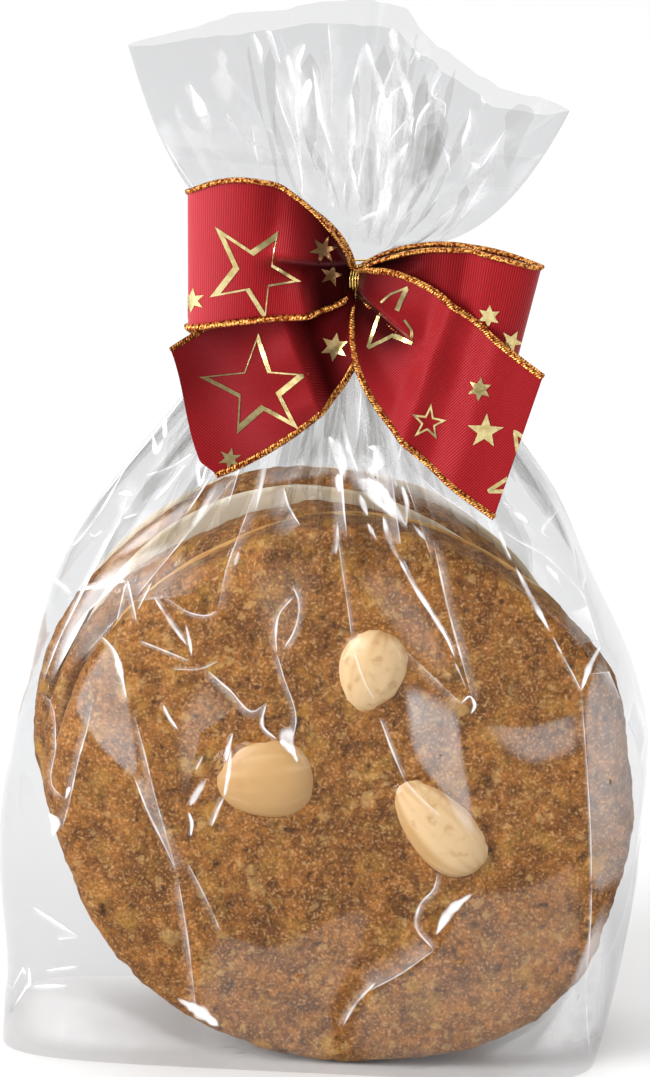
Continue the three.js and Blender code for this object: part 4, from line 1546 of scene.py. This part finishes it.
def crumb_relief(points, seed):
    """How far lumps, knobs and crumbs push the surface out and pits draw it in, and how much painted shade it
    gets in pits and between knobs.
    """
    lumps = rough(points, LUMP_SIZE, 2, seed)
    knobs = rough(points, KNOB_SIZE, 2, seed + 40)
    near, own = grains(points, CRUMB_SIZE, seed + 80)
    crumbs = (0.62 - near) * (0.4 + own)
    pits = np.clip(-rough(points, PIT_SIZE, 2, seed + 120) - 0.55, 0, 1)
    push = LUMP_HEIGHT * lumps + KNOB_HEIGHT * knobs + CRUMB_HEIGHT * crumbs - PIT_DEPTH * pits
    painted_crumb_shade = np.clip(1.3 * pits + 0.35 * np.clip(-knobs - 0.3, 0, 1), 0, 1)
    return push, painted_crumb_shade


def rim_line(points, degrees, share, seed):
    """The golden line on the front lebkuchen's rim: a bell curve across the share, between two angles,
    wider to the left and broken by noise."""
    first, last = RIM_LINE_ANGLES
    shown = ease(first - RIM_LINE_FADE, first, degrees) * ease(last + RIM_LINE_FADE, last, degrees)
    line_share, half, left_half = RIM_LINE
    half = half + (left_half - half) * ease(RIM_LINE_WIDENS, last, degrees)
    line = np.exp(-((share[:, None] - line_share) / half) ** 2) * shown
    return line * uneven(points, 0.75, [(0.5, 6.0)], seed + 200, 0, 1)


def crevice_shade(x, z, share, ahead):
    """Painted shade of a lebkuchen in the crevice behind the one ahead of it: darkest within that one's
    rim, fading out over the crevice's width, and fainter lower down."""
    away = np.hypot(x - ahead[0], z - ahead[1] - BISCUIT_LIFT) - ahead[1]
    dark = CREVICE_FAINT + (1 - CREVICE_FAINT) * ease(*CREVICE_HEIGHT, z)
    return dark * ease(CREVICE, 0.0, away) * ease(*CREVICE_SHARES, share)[:, None]


def build_biscuit(name, spec, rings, columns, seed, material, ahead=None):
    """One lebkuchen on edge: its outline turned about Y and drawn in by its dents, then pushed along its
    normals by its crumb. It gets painted shade in its pits, on its wall and in the crevice behind the
    lebkuchen ahead of it, and without one ahead its upper rim carries a golden line."""
    middle, radius, back, thickness, dents = spec
    turn = np.linspace(0, 2 * np.pi, columns, endpoint=False)
    degrees = np.degrees(turn)
    share = np.linspace(0, 1, rings)
    reach, height = biscuit_profile(radius, thickness, share)
    outline = 1 + 0.004 * np.sin(2 * turn + seed) + 0.003 * np.sin(5 * turn + 2 * seed)
    outline = outline - dent_depth(dents, degrees) / radius
    x = middle + reach[:, None] * np.cos(turn) * outline
    z = radius + BISCUIT_LIFT + reach[:, None] * np.sin(turn) * outline
    y = np.repeat((back - height)[:, None], columns, axis=1)
    points = np.stack([x, y, z], axis=-1)
    normal = outward_normals(points, np.array([middle, back - thickness / 2, radius]))
    push, painted_crumb_shade = crumb_relief(points, seed)
    push = np.minimum(push * ease(*SMOOTH_BACK_SHARES, share)[:, None], HIGHEST_CRUMB)
    points = points + normal * push[..., None]
    points[..., 2] = np.maximum(points[..., 2], LOWEST_POINT)
    # Painted shade on the wall
    painted_crumb_shade = np.maximum(painted_crumb_shade, WALL_SHADE * ease(*WALL_SHADE_SHARES, share)[:, None])
    line = np.zeros(painted_crumb_shade.shape)
    if ahead:
        painted_crumb_shade = np.maximum(painted_crumb_shade, crevice_shade(x, z, share, ahead))
    else:
        line = rim_line(points, degrees, share, seed)
    masks = {"painted_crumb_shade": np.append(painted_crumb_shade.ravel(), [0, 0]), "line": np.append(line.ravel(), [0, 0])}
    make_piece(name, with_poles(points), poled_faces(rings, columns), material, "bag", masks)


def build_wafer(name, spec, shape, seed, material):
    """The baking wafer under one lebkuchen: a thin disc with a soft uneven rim, wider than the
    lebkuchen round one angle and narrower round the rest, and flat where it would reach the base."""
    middle, radius, back, _, _ = spec
    overhang, place, width = shape
    turn = np.linspace(0, 2 * np.pi, WAFER_COLUMNS, endpoint=False)
    around = 30 * np.stack([np.cos(turn), np.sin(turn), 0 * turn], axis=-1)
    top = np.exp(-((np.degrees(turn) - place) / width) ** 2)
    rim = radius - WAFER_SHY + (overhang + WAFER_SHY) * top + 0.5 * rough(around, 12.0, 3, seed)
    rim = np.minimum(rim, (radius + BISCUIT_LIFT - LOWEST_POINT) / np.maximum(0.02, -np.sin(turn)))
    half = np.array([0.01, 0.5, 0.9, 0.985, 1.0])
    shares = np.concatenate([half, half[::-1]])
    depth = np.array([0, 0, 0, 0, 0.25, 0.75, 1, 1, 1, 1]) * WAFER_THICKNESS
    x = middle + shares[:, None] * rim * np.cos(turn)
    z = radius + BISCUIT_LIFT + shares[:, None] * rim * np.sin(turn)
    y = np.repeat((back + WAFER_GAP + depth)[:, None], WAFER_COLUMNS, axis=1)
    grid = np.stack([x, y, z], axis=-1)
    make_piece(name, with_poles(grid), poled_faces(len(shares), WAFER_COLUMNS), material, "bag")


def build_almonds(material):
    """Half-sunk almonds: ovals of revolution that narrow to a tip, grooved lengthwise. Their streaks
    follow the grooves, lumps and both ends."""
    parts = []
    streaks = []
    share, roll = np.meshgrid(
        np.linspace(0.004, 0.996, ALMOND_ROWS),
        np.linspace(0, 2 * np.pi, ALMOND_COLUMNS, endpoint=False),
        indexing="ij",
    )
    along = -np.cos(np.pi * share)
    girth = np.sin(np.pi * share) ** 0.85 * (1 + ALMOND_TAPER * along)
    around = np.stack([6 * share, 5 * np.cos(roll), 5 * np.sin(roll)], axis=-1)
    for number, (middle, up, half_long, half_wide, turn) in enumerate(ALMONDS):
        lumps = rough(around, 3.0, 2, ALMOND_SEED + number)
        groove = np.sin(15 * roll + 2.0 * np.sin(3 * share + number) + 2.0 * lumps)
        size = girth * (1 + ALMOND_LUMPS * lumps + ALMOND_GROOVE * groove)
        long_way = half_long * along
        wide_way = half_wide * size * np.cos(roll)
        thick = ALMOND_HALF_HEIGHT * size * np.sin(roll)
        angle = math.radians(turn)
        x = middle + long_way * math.cos(angle) - wide_way * math.sin(angle)
        z = up + long_way * math.sin(angle) + wide_way * math.cos(angle)
        grid = np.stack([x, ALMOND_DEPTH + thick, z], axis=-1)
        parts.append((grid, capped_faces(ALMOND_ROWS, ALMOND_COLUMNS)))
        streak = ALMOND_TONES[number] - 0.13 * groove + 0.45 * lumps + 0.5 * np.abs(along) ** 6
        streaks.append(np.clip(streak, 0, 1).ravel())
    points, faces = join(parts)
    make_piece("almonds", points, faces, material, "bag", {"streak": np.concatenate(streaks)})


# Ribbon bow and tie


def ribbon_folds(limb, flat):
    """Height and painted shade of a limb's folds: each steps up from one side of its line to the other, grows
    from the line's start, and dies out away from the line and past its end. The low side gets painted shade."""
    total = np.zeros(flat.shape[:-1])
    shade = np.zeros(flat.shape[:-1])
    for start, end, lift, half_width, reach, shelf in limb["folds"]:
        step = np.array(end, float) - np.array(start, float)
        length = np.hypot(*step)
        offset = flat - np.array(start, float)
        share = offset @ step / length ** 2
        side = (step[0] * offset[..., 1] - step[1] * offset[..., 0]) / length
        rise = ease(-half_width, half_width, side) - 0.5
        strength = ease(-0.1, 0.45, share) * ease(1.25, 1.0, share)
        low = -np.sign(lift) * side
        total += lift * rise * np.exp(-(side / reach) ** 2) * strength
        dim = ease(-half_width, half_width, low) * np.exp(-np.maximum(0, low - shelf) / reach)
        shade = np.maximum(shade, FOLD_SHADE * dim * strength)
    return total, shade


def loop_point(limb, along, across):
    """A point on a ribbon loop, its painted shade and the painted highlight at its far end: it runs out
    along the two edges and back behind itself, so its reach is the sine of the run. It swells out of the
    knot, folds cross its front, and a shallow dent crosses it further out."""
    out = np.sin(np.pi * along)
    low = edge_curve(limb["lower"], out)
    high = edge_curve(limb["upper"], out)
    flat = low + (high - low) * across[..., None]
    swing = np.sin(2 * np.pi * along)
    layer = 0.5 * LOOP_GAP * swing + 0.5 * LOOP_ROOT_GAP * np.cos(np.pi * along)
    dent = np.exp(-((out - limb["dent"]) / 0.06) ** 2) * ease(0.35, 0.8, across)
    fold, shade = ribbon_folds(limb, flat)
    fold = fold * ease(0.0, 0.10, out) * ease(1.0, 0.88, across) - DENT_DEPTH * dent
    swell = KNOT_SWELL * ease(0.0, 0.12, out) * ease(0.6, 0.2, out)
    forward = limb["lean"] * out + layer + np.where(along < 0.5, fold + swell, -0.3 * fold)
    drop = limb["drop"] * np.maximum(0, -swing)
    upper, lower = limb["near"]
    near = KNOT_SHADE * ease(lower + (upper - lower) * across, KNOT_SHADE_CORE, out)
    shade = 1 - (1 - limb["dim"]) * (1 - shade) * (1 - near)
    shine = limb["shine"] * ease(0.64, 1.0, out)
    return KNOT + np.stack([flat[..., 0], -forward, flat[..., 1] - drop], axis=-1), shade, shine


def tail_point(limb, along, across):
    """A point on a ribbon tail, its painted shade and a painted highlight band near its end: it spreads from
    the knot between its two edges, and its end can bulge. Pleats die out along it, folds cross it near the
    knot, dips and ridges cross it further out, and a loop above paints shadow on its upper edge."""
    low = edge_curve(limb["lower"], along)
    high = edge_curve(limb["upper"], along)
    flat = low + (high - low) * across[..., None]
    bulge = ease(0.0, 0.85, 1 - across) * (1 - 0.8 * ease(0.12, 0.0, across))
    flat[..., 0] -= limb["bulge"] * bulge * ease(0.45, 1.0, along)
    gather = GATHER_DEPTH * 4 * along * (1 - along) ** 2 * np.cos(2 * np.pi * GATHER_WAVES * across)
    cross = np.zeros(along.shape)
    for place, width, lift in limb["ridges"]:
        cross = cross + lift * np.exp(-((along - place - 0.05 * (0.5 - across)) / width) ** 2)
    curve = 1 - (1 - along) ** 2
    fold, shade = ribbon_folds(limb, flat)
    forward = limb["root"] + limb["rise"] * curve - limb["drape"] * np.minimum(0, flat[..., 1])
    forward = forward + gather + cross + fold * ease(0.0, 0.12, along)
    forward = forward + KNOT_SWELL * ease(0.0, 0.12, along) * ease(0.6, 0.2, along)
    near = KNOT_SHADE * ease(limb["near"], 0.0, along)
    under = limb["cover"] * ease(0.5, 1.0, along) * ease(0.25, 0.8, across)
    shade = 1 - (1 - limb["dim"]) * (1 - shade) * (1 - near) * (1 - under)
    shine = limb["shine"] * np.exp(-((along - TAIL_SHINE[0]) / TAIL_SHINE[1]) ** 2)
    return KNOT + np.stack([flat[..., 0], -forward, flat[..., 1]], axis=-1), shade, shine


def limb_grid(shape, limb):
    """A limb as a grid of points, rows along it and columns across it, with flat coordinates in
    tenths of a metre, its painted shade and its painted highlight. The first coordinate leans over by the
    slant, so that the ribs stand square to the lower edge where the end is cut askew."""
    along, across = np.meshgrid(np.linspace(0, 1, LIMB_ROWS), np.linspace(0, 1, LIMB_COLUMNS), indexing="ij")
    points, shade, shine = shape(limb, along, across)
    run = path_run(points[:, LIMB_COLUMNS // 2])
    wide = np.linalg.norm(points[:, -1] - points[:, 0], axis=1)
    ribs = run[:, None] + limb["slant"] * wide[:, None] * (1 - across)
    flat = np.stack([ribs / UV_LENGTH, across * 0.25], axis=-1)
    return points, flat, shade, shine


def edge_braid(path, toward, size):
    """A braided edge: strands that wind round the ribbon's edge, flattened across it."""
    line = resample(path, STRAND_STEP)
    run = np.linspace(0, STRAND_STEP * (len(line) - 1), len(line))
    side, out = path_directions(line, toward)
    wide, high = STRAND_OVAL
    parts = []
    for strand in range(STRANDS):
        turn = 2 * np.pi * (run / STRAND_PITCH + strand / STRANDS)
        swing = side * np.cos(turn)[:, None] * wide + out * np.sin(turn)[:, None] * high
        wound = line + size * STRAND_SWING * swing
        parts.append(closed_tube(wound, size * STRAND_RADIUS, STRAND_SIDES, toward))
    return parts


def build_bow(ribbon, braid):
    """The four limbs as thin sheets, and their braided edges."""
    shapes = {
        "left_loop": (loop_point, LEFT_LOOP),
        "right_loop": (loop_point, RIGHT_LOOP),
        "left_tail": (tail_point, LEFT_TAIL),
        "right_tail": (tail_point, RIGHT_TAIL),
    }
    limbs = {name: limb_grid(*shape) for name, shape in shapes.items()}
    edges = []
    painted_shades = []
    for name, (points, flat, shade, shine) in limbs.items():
        faces = [grid_faces(LIMB_ROWS, LIMB_COLUMNS, False)]
        # Painted shade and painted highlight of the limb
        masks = {"painted_shade": shade, "shine": shine}
        piece = make_piece(name, points, faces, ribbon, "ribbon_bow", masks, flat)
        thick = piece.modifiers.new("thickness", "SOLIDIFY")
        thick.thickness = RIBBON_THICKNESS * MM
        thick.offset = 0
        toward = np.array([0.0, 0.0, 1.0]) if "loop" in name else np.array([0.0, -1.0, 0.0])
        # Each braid carries a painted shade of its own
        for side, (size, painted_shade) in zip((0, -1), shapes[name][1]["braids"]):
            strands = edge_braid(points[:, side], toward, size)
            painted_shades += [np.full(grid.size // 3, painted_shade) for grid, _ in strands]
            edges += strands
    points, faces = join(edges)
    make_piece("ribbon_edges", points, faces, braid, "ribbon_bow", {"painted_shade": np.concatenate(painted_shades)})
    return limbs


def build_knot(ribbon):
    """The gathered ribbon of the knot: a squarish oval of revolution about X with folds along it."""
    share, roll = np.meshgrid(
        np.linspace(0, np.pi, KNOT_ROWS + 2)[1:-1],
        np.linspace(0, 2 * np.pi, KNOT_COLUMNS, endpoint=False),
        indexing="ij",
    )
    girth = np.sin(share) ** 0.6 * (1 + 0.10 * np.cos(9 * roll + 2 * np.cos(share)))
    points = KNOT - np.array([0, 0, KNOT_DROP]) + np.stack([
        -KNOT_HALF[0] * np.cos(share),
        KNOT_HALF[1] * girth * np.cos(roll),
        KNOT_HALF[2] * girth * np.sin(roll),
    ], axis=-1)
    # The knot carries painted shade all over
    masks = {"painted_shade": np.full(share.size, KNOT_SHADE)}
    flat = np.stack([share, roll], axis=-1) / 10
    faces = capped_faces(KNOT_ROWS, KNOT_COLUMNS)
    make_piece("ribbon_knot", points, faces, ribbon, "ribbon_bow", masks, flat)


def star_contour(tips, inner):
    """A star's middle and its outline through its tips: between neighbouring tips it comes in towards
    the middle, and each straight side has a few points."""
    tips = np.array(tips, float)
    middle = tips.mean(axis=0)
    between = middle + inner * ((tips + np.roll(tips, -1, axis=0)) / 2 - middle)
    corners = np.stack([tips, between], axis=1).reshape(-1, 2)
    following = np.roll(corners, -1, axis=0)
    steps = np.linspace(0, 1, STAR_SIDE_POINTS, endpoint=False)[None, :, None]
    sides = corners[:, None] * (1 - steps) + following[:, None] * steps
    return middle, sides.reshape(-1, 2)


def regular_tips(centre, radius, count, turn):
    """Tips of a regular star in pixels."""
    angle = np.radians(turn) + np.arange(count) * 2 * np.pi / count
    return np.stack([centre[0] + radius * np.sin(angle), centre[1] - radius * np.cos(angle)], axis=1)


def lay_foil(limb, pixels):
    """Foil on the front of a ribbon limb: each pixel's place on it, lifted off along the normal that
    points to the front, and the ribbon's painted shade there."""
    points, _, shade, _ = limb
    rows, columns = find_on_grid(points, pixels.reshape(-1, 2))
    normal = grid_normals(points, False)
    normal = normal * -np.sign(normal[..., 1:2])
    place = sample_grid(points, rows, columns) + STAR_LIFT * sample_grid(normal, rows, columns)
    return place, sample_grid(shade[..., None], rows, columns)[:, 0]


def build_stars(limbs, material):
    """Foil stars laid on the ribbon: outlines given in pixels, filled or as a band, each point moved
    to the limb's surface, lifted off it and darkened by the ribbon's painted shade there. Cut or bent stars
    are bands along their sides."""
    parts = []
    painted_shades = []
    fronts = {
        name: [grid[: LIMB_ROWS // 2] if "loop" in name else grid for grid in limb]
        for name, limb in limbs.items()
    }
    for limb, tips, inner, hole, shift in STARS:
        middle, contour = star_contour(regular_tips(*tips) if isinstance(tips, tuple) else tips, inner)
        shares = np.linspace(hole, 1, 3) if hole else np.linspace(STAR_CAP, 1, 5)
        offset = np.array(shift) * ((1 - shares) / (1 - hole))[:, None]
        pixels = middle + offset[:, None] + shares[:, None, None] * (contour - middle)[None]
        place, shade = lay_foil(fronts[limb], pixels)
        painted_shades.append(STAR_SHADE * ease(*STAR_SHADES, shade))
        faces = [grid_faces(len(shares), len(contour), True)]
        if not hole:
            faces.append(np.arange(len(contour))[None, ::-1])
        parts.append((place, faces))
    for width, corners in STAR_STROKES:
        line = resample(np.array(corners, float), 2.0)
        step = unit(np.gradient(line, axis=0))
        side = 0.5 * width * np.stack([-step[:, 1], step[:, 0]], axis=1)
        place, shade = lay_foil(fronts["right_tail"], np.stack([line - side, line + side], axis=1))
        painted_shades.append(0 * shade)
        parts.append((place, [grid_faces(len(line), 2, False)]))
    points, faces = join(parts)
    masks = {"painted_shade": np.concatenate(painted_shades)}
    make_piece("ribbon_stars", points, faces, material, "ribbon_bow", masks)


def build_tie(material):
    """The gold wire: turns wound round the bow's knot, then turns round the bag's neck, both a helix."""
    share = np.linspace(0, 1, WIRE_STEPS)
    turn = 2 * np.pi * WIRE_TURNS * share + KNOT_WIRE_START
    round_knot = KNOT - np.array([0, 0, KNOT_DROP]) + np.stack([
        WIRE_PITCH * WIRE_TURNS * (share - 0.5),
        -KNOT_LOOP_RADIUS * np.cos(turn),
        KNOT_LOOP_RADIUS * np.sin(turn),
    ], axis=-1)
    turn = 2 * np.pi * NECK_TURNS * share + NECK_WIRE_START
    round_neck = np.stack([
        NECK_X + NECK_LOOP_RADIUS * np.cos(turn),
        NECK_LOOP_RADIUS * np.sin(turn),
        NECK_LOOP_HEIGHT + WIRE_PITCH * NECK_TURNS * (share - 0.5),
    ], axis=-1)
    points, faces = join([
        closed_tube(round_knot, WIRE_RADIUS, WIRE_SIDES, np.array([1.0, 0, 0])),
        closed_tube(round_neck, WIRE_RADIUS, WIRE_SIDES, np.array([0, 0, 1.0])),
    ])
    make_piece("tie_wire", points, faces, material, "tie")


# Stage


def stand(name, data):
    """An object of the stage, put in the scene."""
    thing = bpy.data.objects.new(name, data)
    bpy.context.scene.collection.objects.link(thing)
    return thing


def build_camera():
    """The camera, on the line from its target at its azimuth and elevation."""
    back, _, _ = camera_axes()
    camera = bpy.data.cameras.new("camera")
    camera.sensor_width = SENSOR
    camera.lens = FOCAL_PIXELS / PHOTO_HEIGHT * SENSOR
    camera.clip_start, camera.clip_end = CAMERA_CLIP
    holder = stand("camera", camera)
    holder.location = ((CAMERA_TARGET + CAMERA_DISTANCE * back) * MM).tolist()
    holder.rotation_euler = (math.radians(90 - CAMERA_ELEVATION), 0, math.radians(CAMERA_AZIMUTH))
    bpy.context.scene.camera = holder


def build_stage():
    """Pale floor, soft lights and a grey world."""
    mesh = bpy.data.meshes.new("floor")
    sides = ((-1, -1), (1, -1), (1, 1), (-1, 1))
    corners = [(FLOOR_HALF * across, FLOOR_HALF * deep, FLOOR_HEIGHT) for across, deep in sides]
    mesh.from_pydata(corners, [], [(0, 1, 2, 3)])
    mesh.materials.append(floor_material())
    stand("floor", mesh)
    for name, place, aim_at, (width, height), radiance in LIGHTS:
        lamp = bpy.data.lights.new(name, "AREA")
        lamp.shape = "RECTANGLE"
        lamp.size = width
        lamp.size_y = height
        lamp.energy = math.pi * width * height * radiance
        light = stand(name, lamp)
        light.location = place
        aim = np.array(aim_at) - np.array(place)
        flat = math.hypot(aim[0], aim[1])
        light.rotation_euler = (math.atan2(flat, -aim[2]), 0, math.atan2(-aim[0], aim[1]))
    world = bpy.data.worlds.new("world")
    world.use_nodes = True
    background = world.node_tree.nodes["Background"]
    background.inputs[0].default_value = WHITE
    background.inputs[1].default_value = WORLD_LIGHT
    scene = bpy.context.scene
    scene.world = world
    scene.view_settings.view_transform = "Standard"
    scene.cycles.transparent_max_bounces = CLEAR_BOUNCES
    scene.cycles.caustics_reflective = False
    scene.cycles.caustics_refractive = False


# The whole pack


mottle = mottle_group()
painted_shade = painted_shade_group()
film = film_material("clear_film", FILM_TINT)
base_film = film_material("base_film", BASE_TINT)
pleat_film = film_material("pleat_film", PLEAT_TINT)
crumb = biscuit_material()
wafer = wafer_material("wafer", mottle, WAFER_PALE, WAFER_BROWNED)
toasted = wafer_material("toasted_wafer", mottle, TOASTED_PALE, TOASTED_BROWNED)
ribbon = ribbon_material(painted_shade)
braid = gold_material("gold_braid", mottle, painted_shade, BRAID_TONES, 0.3, 1900.0, 0.08)
foil = gold_material("gold_foil", mottle, painted_shade, FOIL_TONES, 0.22, 900.0, 0.14)
wire = gold_material("gold_wire", mottle, painted_shade, WIRE_TONES, 0.25, 900.0, 0.14)
build_film(film, base_film, pleat_film, glint_material())
build_biscuit("lebkuchen_front", FRONT_BISCUIT, *FRONT_GRID, 3, crumb)
build_biscuit("lebkuchen_middle", MIDDLE_BISCUIT, *STACK_GRID, 5, crumb, FRONT_BISCUIT)
build_biscuit("lebkuchen_back", BACK_BISCUIT, *STACK_GRID, 9, crumb, MIDDLE_BISCUIT)
build_wafer("wafer_front", FRONT_BISCUIT, FRONT_WAFER, 61, toasted)
build_wafer("wafer_middle", MIDDLE_BISCUIT, MIDDLE_WAFER, 62, wafer)
build_wafer("wafer_back", BACK_BISCUIT, BACK_WAFER, 63, wafer)
build_almonds(almond_material(mottle))
limbs = build_bow(ribbon, braid)
build_knot(ribbon)
build_stars(limbs, foil)
build_tie(wire)
build_camera()
build_stage()
